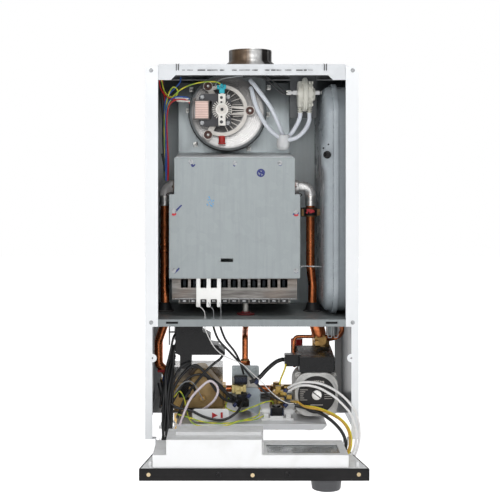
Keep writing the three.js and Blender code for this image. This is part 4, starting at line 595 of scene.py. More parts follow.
def burner_steel_finish():
    """The burner's tray: heat-stained steel, with painted shade that makes it black inside its
    windows.
    """
    finish = Finish("burner_steel", Metallic=0.6)
    depth = finish.along(1) * -1
    # Painted shade: black on every face behind the windows' front.
    inside = 1 - depth.between(0.2335, 0.2365)
    stain = finish.noise(90, 5, 0.65, stretch=(0.14, 1, 1.5)).between(0.36, 0.66)
    warm = finish.noise(18, 3, stretch=(0.4, 1, 1)).between(0.4, 0.62)
    colour = finish.mix(stain, (0.29, 0.277, 0.262), (0.125, 0.115, 0.108))
    colour = finish.mix(warm * 0.45, colour, (0.25, 0.18, 0.135))
    return finish.wire(
        Base_Color=finish.mix(inside, colour, (0.012, 0.016, 0.02)),
        Roughness=0.34 + stain * 0.2 + inside * 0.2,
        Normal=finish.bump(finish.noise(500, 4), 0.0001, 0.5),
    )


def spun_face_finish():
    """A spun metal face: fine rings round the fan's axis, soft blotches and a darker rim, with
    painted light towards the lower right, painted shadow along the top and painted shade in the
    hollow round the axis.
    """
    finish = Finish("spun_face", Metallic=0.9)
    here = finish.away_from(-45, 165, 619)
    far = finish.length(here)
    fine, broad = [(far * (2 * math.pi / pitch)).wave() * 0.5 for pitch in (0.0011, 0.0037)]
    rings = fine + broad
    blotch = finish.noise(30, 4).between(0.4, 0.7)
    edge = far.between(0.066, 0.073)
    colour = finish.mix(rings.between(-1, 1) * 0.35, (0.43, 0.42, 0.41), (0.27, 0.262, 0.257))
    colour = finish.mix(blotch * 0.45, colour, (0.23, 0.22, 0.212))
    # Painted light towards the lower right.
    lower = (finish.part(here, 2) * -1 + finish.part(here, 0) * 0.5).between(-0.01, 0.07)
    colour = finish.mix(lower * 0.7, colour, (0.70, 0.69, 0.68))
    # Painted shadow along the top, under the casing's lip.
    upper = finish.along(2).between(-0.035, 0.025)
    colour = finish.mix(upper * 0.8, colour, (0.085, 0.08, 0.076))
    # Painted shade in the hollow round the fan's axis, behind the bracket.
    hollow = 1 - finish.length(finish.away_from(-56, 165, 621)).between(0.0405, 0.0435)
    colour = finish.mix(hollow * 0.82, colour, (0.035, 0.034, 0.034))
    return finish.wire(
        Base_Color=finish.mix(edge * 0.75, colour, (0.10, 0.10, 0.105)),
        Roughness=0.24 + rings.between(-1, 1) * 0.1 + blotch * 0.1,
        Normal=finish.bump(rings, 0.00008, 0.6),
    )


def zinc_finish():
    finish = Finish("zinc_plate", Metallic=0.5)
    tone = finish.noise(260, 4).between(0.4, 0.7)
    return finish.wire(
        Base_Color=finish.mix(tone, (0.42, 0.43, 0.44), (0.20, 0.205, 0.21)),
        Roughness=0.34 + tone * 0.2,
        Normal=finish.bump(finish.noise(1300, 2), 0.00004, 0.4),
    )


def ink(name, colour):
    finish = Finish(name, Roughness=0.5)
    patch = finish.noise(900, 3).between(0.3, 0.6)
    return finish.wire(
        Base_Color=finish.mix(patch, tuple(min(1, 1.8 * c + 0.02) for c in colour), colour),
        Roughness=0.4 + patch * 0.2,
        Normal=finish.bump(patch, 0.00003, 0.4),
    )


# The keys are the record's slots, and names for what differs from its slot.
FINISHES = {
    "spun_face": spun_face_finish(),
    "steel_painted_reflections": steel_painted_reflections_finish(),
    "burner_steel": burner_steel_finish(),
    "gloss_black": moulded("gloss_black", (0.004, 0.004, 0.005), (0.012, 0.012, 0.013), 0.2,
                           Specular_IOR_Level=0.28),
    "pale_sheet": moulded("pale_sheet", (0.78, 0.79, 0.81), (0.68, 0.69, 0.71), 0.3, 700,
                          Metallic=0.25),
    "pump_casting": cast_finish("pump_casting", (0.68, 0.67, 0.65), (0.52, 0.51, 0.49), 0.35, 0.46,
                                520),
    "ivory": moulded("ivory_plastic", (0.62, 0.61, 0.55), (0.50, 0.49, 0.43), 0.32),
    "clear": milky_finish("clear_trap", (0.97, 0.97, 0.97), 0.12, 0.4, (0.88, 0.89, 0.90)),
    # Painted shade on the pressure switch's bracket, which stands in the switch's shadow.
    "dark_sheet_painted_shade": moulded("dark_sheet_painted_shade", (0.10, 0.105, 0.11), (0.17, 0.175, 0.18), 0.4,
                          Metallic=0.4),
    "dial": moulded("dial_plastic", (0.05, 0.051, 0.056), (0.075, 0.076, 0.082), 0.38),
    "side_lacquer": side_lacquer_finish(),
    "dark_brass": pipe_metal("dark_brass", (0.36, 0.22, 0.08), (0.20, 0.12, 0.045),
                             (0.09, 0.06, 0.035), 0.3),
    # A paler, less metallic copy of the bright casting: painted light on the left elbow, which
    # stands in shade.
    "pale_casting_painted_light": cast_finish("pale_casting_painted_light", (0.95, 0.95, 0.94), (0.78, 0.78, 0.77), 0.15, 0.3),
    "galvanised": galvanised_finish(),
    # A lighter copy of the galvanised sheet, painted light for the hood and back panel, with
    # painted shadow at the top and painted light on the ledges.
    "galvanised_painted_light_and_shade": galvanised_finish("galvanised_painted_light_and_shade", 1.45, 0.86),
    # A darkened copy of the galvanised sheet: painted shade on the fan scroll's side.
    "scroll_sheet_painted_shade": galvanised_finish("scroll_sheet_painted_shade", 0.32),
    "dull_galvanised": galvanised_finish("dull_galvanised", 0.62),
    "cover_sheet": galvanised_finish("cover_sheet", 0.78),
    "grey_lacquer": moulded("grey_lacquer", (0.66, 0.68, 0.70), (0.58, 0.60, 0.62), 0.34, 900),
    "bright_casting": cast_finish("bright_casting", (0.94, 0.94, 0.93), (0.74, 0.74, 0.73), 0.6,
                                  0.2),
    "bracket_alloy": cast_finish("bracket_alloy", (0.74, 0.70, 0.65), (0.58, 0.55, 0.51), 0.2,
                                 0.38),
    "steel": steel_finish(),
    "castAlloy": cast_finish("cast_alloy", (0.62, 0.60, 0.56), (0.43, 0.42, 0.39), 0.75, 0.42,
                             650),
    "cream": cast_finish("cream_alloy", (0.80, 0.775, 0.73), (0.68, 0.65, 0.60), 0.15, 0.38),
    "laminate": laminate_finish(),
    "bobbin": winding_finish(),
    "copper": pipe_metal("copper", (0.72, 0.225, 0.085), (0.30, 0.085, 0.035),
                         (0.075, 0.032, 0.025), 0.22),
    "brass": pipe_metal("brass", (0.60, 0.40, 0.16), (0.34, 0.22, 0.09), (0.12, 0.085, 0.05),
                        0.26),
    "nickel": pipe_metal("nickel", (0.86, 0.85, 0.82), (0.66, 0.65, 0.63), (0.34, 0.33, 0.31),
                         0.27),
    "ceramic": moulded("ceramic", (0.90, 0.90, 0.88), (0.82, 0.81, 0.77), 0.28, 500),
    "black": moulded(
        "black_moulding", (0.007, 0.0065, 0.007), (0.017, 0.016, 0.0165), 0.38,
        Specular_IOR_Level=0.2
    ),
    "red": moulded("red_moulding", (0.46, 0.015, 0.02), (0.32, 0.01, 0.012), 0.35),
    "vessel": moulded("vessel_paint", (0.33, 0.365, 0.39), (0.27, 0.30, 0.325), 0.22, 500, 0.0001),
    "white": moulded("white_moulding", (0.84, 0.845, 0.85), (0.75, 0.75, 0.735), 0.36),
    "glassy": milky_finish("clear_pane", (0.86, 0.89, 0.90), 0.1, 0.8, (0.80, 0.83, 0.84)),
    "silicone": milky_finish("silicone", (0.88, 0.91, 0.97), 0.28, 0.25, (0.76, 0.80, 0.88)),
    "board": board_finish(),
    "goldShell": cast_finish("gold_shell", (0.40, 0.27, 0.12), (0.24, 0.155, 0.065), 0.55, 0.34,
                             300),
    "regulator": moulded("regulator", (0.76, 0.62, 0.27), (0.62, 0.48, 0.19), 0.42),
    "black_rubber": moulded("black_rubber", (0.012, 0.012, 0.013), (0.03, 0.03, 0.032), 0.5),
    "brown_rubber": moulded("brown_rubber", (0.085, 0.035, 0.025), (0.05, 0.022, 0.017), 0.5),
    "turquoise": moulded("turquoise_boot", (0.02, 0.42, 0.52), (0.01, 0.30, 0.38), 0.38),
    "red_cap": moulded("red_cap", (0.50, 0.022, 0.014), (0.32, 0.012, 0.01), 0.38),
    "connector": moulded("pale_connector", (0.72, 0.71, 0.66), (0.58, 0.56, 0.50), 0.3),
    "cocoa": moulded("aged_clip", (0.17, 0.10, 0.04), (0.30, 0.19, 0.07), 0.34, Metallic=0.6),
    "shade": moulded("deep_shade", (0.012, 0.012, 0.013), (0.03, 0.03, 0.032), 0.6),
    "label": moulded("label_face", (0.018, 0.017, 0.017), (0.035, 0.032, 0.031), 0.55),
    "print": moulded("label_print", (0.56, 0.53, 0.49), (0.42, 0.39, 0.36), 0.5),
    "zinc_sheet": moulded("zinc_sheet", (0.47, 0.53, 0.58), (0.34, 0.39, 0.44), 0.3,
                          Metallic=0.45),
    "navy": moulded("navy_plastic", (0.006, 0.012, 0.03), (0.014, 0.022, 0.06), 0.3),
    "smoky": moulded("smoky_bobbin", (0.11, 0.095, 0.085), (0.20, 0.18, 0.165), 0.25),
    "seal": moulded("dark_red_seal", (0.16, 0.008, 0.012), (0.09, 0.005, 0.008), 0.4),
    "gold_plug": moulded("gold_plug", (0.46, 0.30, 0.06), (0.32, 0.18, 0.03), 0.35),
    "dark_steel": moulded("blackened_steel", (0.05, 0.05, 0.052), (0.12, 0.12, 0.12), 0.32,
                          Metallic=0.8),
    "yellow_zinc": moulded("yellow_zinc", (0.62, 0.49, 0.30), (0.42, 0.32, 0.18), 0.3,
                           Metallic=0.6),
    "zinc": zinc_finish(),
    "blue_ink": ink("blue_ink", (0.012, 0.018, 0.13)),
    "red_ink": ink("red_ink", (0.42, 0.01, 0.02)),
    "pale_ink": ink("pale_blue_ink", (0.07, 0.25, 0.46)),
    "tape": sheathing("blue_tape", (0.014, 0.025, 0.10), (0.01, 0.016, 0.05)),
}
SHEATHS = {
    "red": sheathing("red_lead", (0.55, 0.015, 0.015), (0.30, 0.01, 0.01)),
    "blue": sheathing("blue_lead", (0.02, 0.10, 0.42), (0.01, 0.05, 0.22)),
    "black": sheathing("black_lead", (0.008, 0.008, 0.009), (0.03, 0.03, 0.03)),
    "grey": sheathing("grey_lead", (0.30, 0.31, 0.32), (0.20, 0.20, 0.21)),
    "white": sheathing("white_sleeve", (0.86, 0.85, 0.84), (0.70, 0.68, 0.65)),
    "yellow": sheathing("yellow_lead", (0.78, 0.64, 0.03), (0.58, 0.46, 0.03)),
    "gold": sheathing("gold_lead", (0.62, 0.36, 0.04), (0.42, 0.22, 0.03)),
    "pink": sheathing("pink_white_sleeve", (0.74, 0.66, 0.70), (0.60, 0.50, 0.54)),
}


def striped_sheath():
    """Earth lead: yellow with a green stripe that winds along it."""
    finish = Finish("earth_lead", Coat_Weight=0.15, Coat_Roughness=0.3)
    here = finish.node("ShaderNodeUVMap", {"uv_map": "length"})
    along, around = finish.part(here, 0), finish.part(here, 1)
    stripe = (around * 2 * math.pi + along * 60).wave().between(-0.1, 0.1)
    colour = finish.mix(stripe, (0.76, 0.70, 0.04), (0.30, 0.48, 0.05))
    return finish.wire(
        Base_Color=colour,
        Roughness=0.38 + finish.noise(150, 3) * 0.15,
        Normal=finish.bump(finish.noise(800, 2), 0.00004, 0.4),
    )


SHEATHS["earth"] = striped_sheath()


def dressed(piece, finish, body):
    """Gives a piece its finish and the body that it rides on."""
    piece.data.materials.clear()
    piece.data.materials.append(FINISHES[finish])
    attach(piece, body)
    return piece


# Leads


LEAD_SIDES = 12
HOSE_SIDES = 24


def tube_piece(name, places, stations, diameter, sides, material):
    """A lead or hose from place to place, held at both ends."""
    bm = bmesh.new()
    sweep(bm, stations_through(places, stations * len(places)), diameter / 2, sides)
    piece = finished(name, bm, 60)
    piece.data.materials.append(material)
    return piece


def lead(name, sheath, diameter, places):
    piece = tube_piece(name, places, 12, diameter, LEAD_SIDES, SHEATHS[sheath])
    if sheath == "earth":
        map_length(piece)
    if name in TO_PANEL:
        start, end = OVER_HINGE
        at(*start)
        at(*end)
        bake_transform(piece)
    else:
        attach(piece, "casing")


def map_length(piece):
    """Runs a lead's length along the map named length, which its stripe follows."""
    stations = len(piece.data.vertices) / LEAD_SIDES
    layer = piece.data.uv_layers.new(name="length")
    for loop in piece.data.loops:
        ring, k = divmod(loop.vertex_index, LEAD_SIDES)
        layer.data[loop.index].uv = (ring / stations, k / LEAD_SIDES)


# Two places by the panel's hinge, over which the leads to the panel pass.
OVER_HINGE = [(0, 272, 22), (0, 290, -16)]
TO_PANEL = {
    "sleeved_lead_outer": ("white", 4.6, [
        (70.7, 225, 85.1), (84, 234, 94.5), (99.2, 240, 99.5), (127.7, 251, 99.3),
        (153, 265, 91), (172, 280, 79), (188, 292, 61), (196.5, 300, 40), (198, 308, 16),
        (193, 320, -5), (183, 338, -20),
    ]),
    "sleeved_lead_inner": ("white", 4.6, [
        (70.7, 226, 79), (93.4, 240, 92.9), (121.8, 250, 92.2), (149, 264, 81),
        (168, 277, 67), (183, 290, 50), (190.5, 300, 30), (191, 310, 8), (186, 322, -8),
        (175, 338, -20),
    ]),
    "yellow_lead": ("yellow", 2.6, [
        (87.8, 229, 53), (120.9, 245, 53), (147.7, 262, 47), (167, 277, 38),
        (180, 290, 24), (184, 301, 6), (181, 315, -8), (172, 332, -19),
    ]),
    "gold_lead": ("gold", 4.2, [
        (88, 229, 60), (104, 240, 52), (130, 250, 49), (152, 264, 42), (169, 279, 33),
        (179, 292, 18), (180.5, 303, 0), (176, 317, -11), (168, 332, -20),
    ]),
    "black_lead_pair": ("black", 6.4, [
        (84, 230, 53), (105, 236, 49), (130, 246, 42), (152, 263, 30), (168, 280, 14),
        (174, 293, -2), (171, 308, -12), (163, 328, -20),
    ]),
    "fan_lead_bundle": ("black", 9, [
        (-176, 226, 96), (-170, 232, 72), (-165, 240, 50), (-157, 252, 26), (-150, 268, 8),
        (-148, 290, -4), (-150, 310, -6), (-150, 318, -6),
    ]),
    "pink_signal_lead": ("pink", 4.6, [
        (-145, 317, -5), (-146, 300, -2), (-140, 276, 12), (-131, 258, 36), (-117.1, 244, 66),
        (-98, 240, 88), (-80, 238, 101), (-67, 236, 93), (-63.8, 236, 79.6), (-71, 236, 64),
        (-83, 232, 52), (-92, 222, 44),
    ]),
}
INSIDE = {
    "spark_lead": ("black", 5, [
        (-54, 216, 147), (-60, 220, 140), (-71.6, 222, 131.4), (-88.9, 222.5, 115.3),
        (-107.9, 221.5, 92.2), (-126.8, 220.5, 65.1), (-141.5, 250, 33),
    ]),
    "tail_lead": ("black", 5, [
        (-112.5, 219, 123.8), (-98.7, 221, 123.7), (-83.1, 221.5, 108.3), (-60, 221, 85.3),
        (-38, 214, 64), (-34, 203, 58),
    ]),
    "lower_loop_lead": ("black", 5, [
        (-155.1, 245, 59.8), (-138, 248, 51.5), (-117, 248, 47.8), (-88.4, 250, 34.9),
        (-56.1, 250, 29.3), (-29.4, 240, 40.3), (-16, 219, 56),
    ]),
    "earth_lead_left": ("earth", 2.6, [
        (-140, 248, 40), (-118, 250, 34), (-97.9, 250, 27.4), (-70, 251, 23.6),
        (-40.9, 250, 24), (-20, 244, 27), (0, 236, 30), (14, 226, 34), (19, 190, 40),
    ]),
    "shelf_lead_long": ("black", 4.2, [
        (-71.4, 258, 212), (-71.4, 252, 204), (-61.9, 238, 179), (-40.8, 228, 154.8),
        (-21.5, 222, 132.6), (1.5, 221, 104.3), (28.1, 225, 76.9), (60.4, 231, 60.9),
        (84, 230, 56),
    ]),
    "pale_shelf_lead": ("white", 1.8, [
        (-87.5, 258, 212), (-87.3, 246, 200), (-76.1, 236, 174), (-64.4, 231, 157.8),
        (-46.8, 227, 144.7), (-17.5, 225, 131.5), (0, 223, 115.4), (20.6, 223, 96.3),
        (41.1, 230, 75.8), (58.7, 234, 63.5), (72, 234, 57.5), (86, 230, 56.5),
    ]),
    "shelf_lead_short": ("black", 4.2, [
        (-58.1, 258, 212), (-58.1, 252, 204), (-48.5, 238, 179), (-31.2, 228, 154.8),
        (-20, 214, 130), (-14, 203, 108),
    ]),
    "electrode_lead_1": ("white", 1.3, [
        (-103, 247, 252), (-101, 250, 247), (-92, 254, 240), (-88.5, 256, 233), (-88, 256, 222),
    ]),
    "electrode_lead_2": ("grey", 1.3, [
        (-81.4, 247, 252), (-79, 251, 246), (-73, 255, 240), (-72, 256, 233), (-72, 256, 222),
    ]),
    "electrode_lead_3": ("grey", 1.3, [
        (-60, 247, 252), (-59, 251, 246), (-58, 255, 240), (-58, 256, 233), (-58, 256, 222),
    ]),
    "fan_lead_red": ("red", 2.4, [
        (-119, 205, 634), (-123, 208, 639), (-132, 211, 641), (-144, 211, 640),
        (-155, 210, 634), (-160.5, 209, 622), (-162.6, 209, 601), (-161.5, 211, 562),
        (-159.3, 214, 523), (-160, 214, 484),
    ]),
    "fan_lead_blue": ("blue", 2.4, [
        (-119, 205, 642), (-124, 208, 645), (-134, 211, 646), (-147, 211, 645),
        (-159, 210, 637), (-164, 209, 622), (-165.4, 209, 601), (-164.5, 211, 562),
        (-163, 214, 523), (-163, 214, 484),
    ]),
    "fan_lead_earth": ("earth", 2.4, [
        (-56, 212, 661), (-58, 213, 669), (-66, 213, 674), (-84, 212, 675), (-110, 211, 671),
        (-136, 209, 660), (-154, 208, 642), (-166, 207, 616), (-168, 207, 588),
        (-167, 209, 550), (-166, 211, 516), (-166, 212, 484),
    ]),
    "fan_lead_black": ("black", 4.4, [
        (-178, 200, 680), (-173, 204, 650), (-170.5, 206, 601), (-170, 207, 562), (-168, 210, 523),
        (-166, 210, 484),
    ]),
    "sensor_lead": ("grey", 1.8, [
        (-69.7, 203, 666), (-66, 206, 674), (-56.2, 207, 680.3), (-36.8, 206, 684.2),
        (-15.5, 204, 687),
    ]),
    "switch_lead_upper": ("black", 2.8, [
        (-15, 203, 688), (0, 204, 690), (16, 205, 689.5), (37, 205, 681), (52.6, 204.5, 668),
        (64, 203, 657.5), (72, 202, 656),
    ]),
    "switch_lead_lower": ("black", 2.8, [
        (-15, 203, 684), (0, 205, 686), (16, 206, 685), (34, 206, 676), (49, 205.5, 662.5),
        (62, 204, 653), (72, 202, 651.5),
    ]),
    "rise_lead_outer": ("black", 4.4, [
        (-174, 240, 50), (-169, 234, 84), (-163, 227, 121), (-155, 222, 156), (-150, 212, 180),
        (-145, 205, 188),
    ]),
    "rise_lead_inner": ("black", 4.4, [
        (-170, 244, 44), (-160, 236, 84), (-151, 225, 118), (-149, 220, 150), (-146, 212, 166),
        (-143, 206, 172),
    ]),
    "rise_lead_box": ("black", 5, [
        (-165, 246, 44), (-156, 229, 74), (-146, 224, 107), (-134, 224, 126), (-124, 221, 132),
        (-118, 216, 136),
    ]),
    "dome_loop_lead": ("black", 5.4, [
        (-166, 246, 40), (-158, 229, 66), (-136, 220, 106), (-111, 223, 128), (-94, 222, 120),
        (-76, 220, 92), (-58, 220, 68), (-42, 215, 58), (-27, 206, 56),
    ]),
    "dome_loop_lead_low": ("black", 5, [
        (-163, 250, 36), (-150, 228, 60), (-128, 219, 96), (-105, 220, 110), (-84, 220, 106),
        (-62, 219, 92), (-46, 217, 74), (-30, 207, 62),
    ]),
    "left_loop_grey": ("grey", 2, [
        (-160, 248, 40), (-156, 234, 56), (-150, 225, 70), (-134, 223, 92), (-118, 223, 98),
        (-106, 223, 88),
        (-98, 221, 72), (-92, 216, 60),
    ]),
    "left_loop_earth": ("earth", 2.4, [
        (-160, 246, 78), (-154.5, 230, 67), (-146, 226, 70), (-138, 223, 79), (-130, 222, 68),
        (-125, 230, 52), (-117, 248, 29), (-97, 253, 19), (-58, 253, 18), (-20, 250, 27),
        (6, 240, 28), (20, 226, 30), (32, 212, 33),
    ]),
    "valve_earth": ("earth", 2.6, [
        (-40, 204, 66), (-48, 214, 52), (-46, 223, 45), (-24, 227, 40), (4, 228, 50),
        (24, 224, 57), (40, 215, 58), (44, 206, 50),
    ]),
    "fan_lead_black_pair": ("black", 4, [
        (-172, 211, 536), (-169, 211, 520), (-165, 211, 500), (-161.5, 212, 484),
    ]),
    "corner_loop_earth": ("earth", 2.6, [
        (-168, 206, 606), (-164, 207, 630), (-160, 208, 650), (-152, 209, 664), (-144, 208, 662),
        (-142, 207, 653), (-149, 206, 646), (-160, 206, 648), (-168, 205, 658), (-172, 204, 672),
        (-174, 203, 684),
    ]),
    "corner_lead_red": ("red", 2.6, [
        (-178, 203, 686), (-177, 204, 670), (-172, 206, 656), (-162, 208, 646), (-150, 209, 641),
        (-140, 209, 640),
    ]),
    "corner_lead_blue": ("blue", 2.6, [
        (-136, 203, 684), (-138, 205, 674), (-146, 207, 664), (-158, 207, 652), (-166, 206, 636),
        (-168, 206, 600), (-167, 208, 560), (-165.5, 211, 520), (-165, 213, 484),
    ]),
    "corner_lead_red_low": ("red", 2, [
        (-172, 203, 684), (-170, 204, 660), (-167, 205, 640), (-165, 206, 600), (-163, 209, 550),
        (-161, 213, 510), (-161, 214, 484),
    ]),
    "plug_lead_earth": ("yellow", 3.4, [
        (67.5, 207, 128), (66, 211, 121), (61.8, 215, 111), (57, 220, 101), (55, 224, 92),
    ]),
}
for name, values in (TO_PANEL | INSIDE).items():
    lead(name, *values)


def smooth_run(name, node, places, diameter, material):
    """A smooth form of a CAD lead or hose, on the same route."""
    piece = tube_piece(name, places, 10, diameter, HOSE_SIDES, material)
    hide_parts(node)
    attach(piece, "casing")


HOSE_LOWER = [
    (0.7, 171.6, 665), (0.7, 173.7, 665), (1.4, 177, 664), (3.5, 181, 655), (8, 185, 637),
    (16, 189, 617), (26.5, 192, 597.5), (38.5, 194.5, 582), (50, 195, 572), (62, 195, 565.5),
    (79, 195, 564), (94, 195.5, 570.5), (107.5, 197, 585), (113.5, 199, 600),
    (114.1, 200, 608.6), (114.1, 200, 616.7),
]
HOSE_UPPER = [
    (0.7, 171.6, 680), (0.7, 173.7, 680), (2, 177, 677.5), (6, 180.5, 673), (13, 182.5, 663.5),
    (26.5, 184, 645.5), (39, 185, 627.5), (48.5, 185.5, 608.5), (56.5, 185.5, 590),
    (61.5, 185.5, 576), (67.5, 185.5, 568), (75.5, 186, 571.5), (84, 190, 582), (92, 197, 597),
    (95.9, 200, 608.6), (95.9, 200, 616.7),
]
HARNESS = [
    (-160, 316.7, -3.5), (-160, 308, -3.5), (-159.5, 288, 6), (-160, 264, 30), (-161, 244, 62),
    (-160, 232, 92), (-158, 222, 120), (-156.6, 214, 142), (-156.6, 212, 150),
]
PUMP_LEAD = [
    (65.7, 193, 134.5), (63.7, 193, 134.5), (60, 194, 134.4), (48, 198, 130), (31, 205, 117),
    (19, 209.5, 105), (10, 211, 98), (-2, 211, 94),
]

smooth_run("sensing_hose_lower_tube", "sensing_hose_lower", HOSE_LOWER, 8.3, FINISHES["silicone"])
smooth_run("sensing_hose_upper_tube", "sensing_hose_upper", HOSE_UPPER, 8.3, FINISHES["silicone"])
smooth_run("pump_lead_cable", "pump_lead", PUMP_LEAD, 8, SHEATHS["black"])


# CAD nodes with softened edges


def softened(node, finish, edge):
    """A CAD node's form with its doubles merged, its flats joined and its edges eased."""
    bm = bmesh.new()
    bm.from_mesh(NODES[node].data)
    bmesh.ops.remove_doubles(bm, verts=bm.verts, dist=1e-6)
    bmesh.ops.dissolve_limit(bm, angle_limit=math.radians(0.6), verts=bm.verts, edges=bm.edges)
    if edge:
        eased(bm, sharp_edges(bm, 32), edge)
    shade(bm, 40)
    piece = as_piece(node + "_form", bm)
    piece.modifiers.new("weighted_normals", "WEIGHTED_NORMAL").keep_sharp = True
    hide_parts(node)
    dressed(piece, finish, NODES[node]["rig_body"])


SLOTS = {part["node"]: part["material_slot"] for part in frame["record"]["subparts"]}
EASED = {
    "left_side_panel": 0.45, "right_side_panel": 0.45, "top_panel": 0.4, "back_panel": 0.4,
    "chamber_floor": 0.4, "lower_rail": 0.4, "bottom_plate": 0.4, "smoke_hood": 0.4,
    "fan_scroll": 0.5, "fan_front_plate": 0.8, "fan_impeller": 0,
    "fan_motor_bracket": 1.2, "fan_motor_core": 0.5, "fan_bearing_bridge": 0.8,
    "combustion_cover": 0.4, "combustion_box": 0.4, "heat_exchanger": 0, "burner": 0.35,
    "electrode_block": 1.2, "limit_thermostat": 0.6, "pressure_switch_bracket": 0.4,
    "pump_motor": 2, "pump_terminal_box": 1.2, "pump_volute": 1.4, "return_manifold": 1.0,
    "safety_valve": 0.8, "safety_valve_knob": 0.6, "gas_valve": 1.2, "gas_coil": 1.0,
    "left_manifold": 1.2, "diverter_dome": 3, "plate_exchanger": 0.5,
    "crossover_pipe": 0.5, "cold_inlet_valve": 0.7, "ignition_box": 1.0, "panel_fascia": 0.7,
    "panel_tray": 0.4, "panel_cover": 1.0, "panel_window": 0.4, "panel_board": 0.3,
}


DRESSED = {
    "combustion_cover": "cover_sheet", "smoke_hood": "galvanised_painted_light_and_shade",
    "back_panel": "galvanised_painted_light_and_shade",
    "chamber_floor": "dull_galvanised", "top_panel": "grey_lacquer", "fan_scroll": "scroll_sheet_painted_shade",
    "return_manifold": "dark_brass", "left_side_panel": "side_lacquer",
    "right_side_panel": "side_lacquer",
    "fan_motor_bracket": "bracket_alloy", "fan_front_plate": "spun_face",
    "burner": "burner_steel", "bottom_plate": "pale_sheet",
    "ignition_box": "gloss_black", "pump_terminal_box": "gloss_black",
    "pump_motor": "pump_casting", "pressure_switch_bracket": "dark_sheet_painted_shade",
}


for node, edge in EASED.items():
    slot = SLOTS[node]
    softened(node, DRESSED.get(node, slot), edge)


# Pipes


BEND_STEPS = 8


def bend_line(places, bend):
    """A run through corners, in metres, with each corner rounded to the bend's radius."""
    points = [at(*place) for place in places]
    bend *= MILLIMETRE
    line = [points[0]]
    for before, corner, after in zip(points, points[1:], points[2:]):
        come, leave = (corner - before).normalized(), (after - corner).normalized()
        angle = come.angle(leave)
        if angle < 1e-3:
            line.append(corner)
            continue
        back = bend * math.tan(angle / 2)
        start, axis = corner - come * back, come.cross(leave).normalized()
        centre = start + axis.cross(come) * bend
        for step in range(BEND_STEPS + 1):
            turn = Matrix.Rotation(angle * step / BEND_STEPS, 3, axis)
            line.append(centre + turn @ (start - centre))
    line.append(points[-1])
    return line


def pipe(name, nodes, runs, finish, extras=(), sides=32):
    """A drawn pipe: its runs are corners, diameter and bend, and its extras are turned collars."""
    bm = bmesh.new()
    for places, diameter, bend in runs:
        sweep(bm, bend_line(places, bend), diameter / 2, sides)
    for collar in extras:
        spun(bm, *collar)
    piece = finished(name, bm, 38)
    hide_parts(*nodes)
    dressed(piece, finish, "casing")


WATER_DEPTH = 150
ELBOW_HEIGHT = 471.7


def left_water_pipe():
    runs = [([
        (-170, 150, 446), (-170, 150, 200), (-184, 118, 160), (-184, 118, 112),
        (-168, 118, 97), (-168, 118, 84.4),
    ], 17, 16)]
    extras = [((-170, 150, 359), UP, bead(10.4, -6, 0, 8.5), 32),
              ((-170, 150, 345), UP, bead(9.6, -5, 0, 8.5), 32)]
    pipe("left_pipe_drawn", ["left_pipe"], runs, "copper", extras)
    union_nut("left_union", -170, 453.4)


def right_water_pipe():
    runs = [([
        (120, 150, 446), (120, 150, 315), (124, 150, 276), (124, 150, 210.6),
        (139, 150, 192.5), (139, 150, 184.4),
    ], 17, 8.5)]
    pipe("right_pipe_drawn", ["right_pipe"], runs, "copper")
    union_nut("right_union", 120, 453.4)


def union_nut(name, x, top):
    """A nickel-plated tube nut: two rounded collars with a narrower waist between them."""
    bm = bmesh.new()
    profile = [
        (8.8, -20), (10.4, -20), (10.9, -18.8), (10.9, -15), (10.2, -14), (10.2, -6),
        (10.9, -5), (10.9, -1.2), (10.4, 0), (8.8, 0),
    ]
    spun(bm, (x, WATER_DEPTH, top), UP, profile, 36)
    dressed(finished(name, bm, 45), "nickel", "casing")


def elbow(name, node, start, pipe_x, cast):
    side = 1 if pipe_x > start else -1
    mouth, foot = (start, WATER_DEPTH, ELBOW_HEIGHT), (pipe_x, WATER_DEPTH, 453.7)
    runs = [([mouth, (pipe_x, WATER_DEPTH, ELBOW_HEIGHT), foot], 20, 16)]
    low, high = sorted((0, side * 9))
    extras = [(mouth, RIGHT, rim(13, low, high, 1.6), 40), (foot, UP, bead(10.6, 0, 4, 10), 40)]
    pipe(name, [node], runs, cast, extras, 40)


def small_pipes():
    pipe("vessel_pipe_drawn", ["vessel_pipe"], [
        ([(151.3, 124, 168), (186, 124, 168), (186, 124, 230)], 9, 14)], "copper")
    pipe("relief_tube_drawn", ["relief_tube"], [
        ([(126.7, 140, 171.5), (88, 140, 171.5), (88, 140, 112), (105, 58, 108.5), (105, 58, 22)],
         7, 9)], "copper")
    pipe("gas_pipe_drawn", ["gas_pipe"], [
        ([(-10, 150, 119), (-10, 150, 178), (-10, 205, 204), (-10, 205, 223.8)], 12, 18)],
        "copper",
        [((-10, 150, 112.3), UP, rim(10.4, 0, 13, 1), 6),
         ((-10, 150, 125), UP, bead(8.2, 0, 4, 6), 28)])
    nozzles = [((x, 205, 250.7), UP, rim(3, 0, 5.7, 0.3), 14) for x in burner_places()]
    pipe("gas_manifold_drawn", ["gas_manifold"], [
        ([(-140, 205, 250.7), (76, 205, 250.7)], 11, 5)], "castAlloy",
        [((-10, 205, 224.4), UP, rim(5.5, 0, 26, 0.8), 28),
         ((-10, 205, 224.4), UP, rim(12, 0, 2.9, 0.6), 6), *nozzles])


def burner_places():
    return [-127.7 + 19 * i for i in range(11)]


left_water_pipe()
right_water_pipe()
elbow("left_elbow_cast", "left_elbow", -151.7, -170, "pale_casting_painted_light")
elbow("right_elbow_cast", "right_elbow", 87.7, 120, "bright_casting")
small_pipes()


# Turned and pressed pieces that replace plain solids


def turned(name, node, foot, profile, finish, sides=64, angle=35):
    bm = bmesh.new()
    spun(bm, foot, UP, profile, sides)
    piece = finished(name, bm, angle)
    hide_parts(node)
    dressed(piece, finish, "casing")


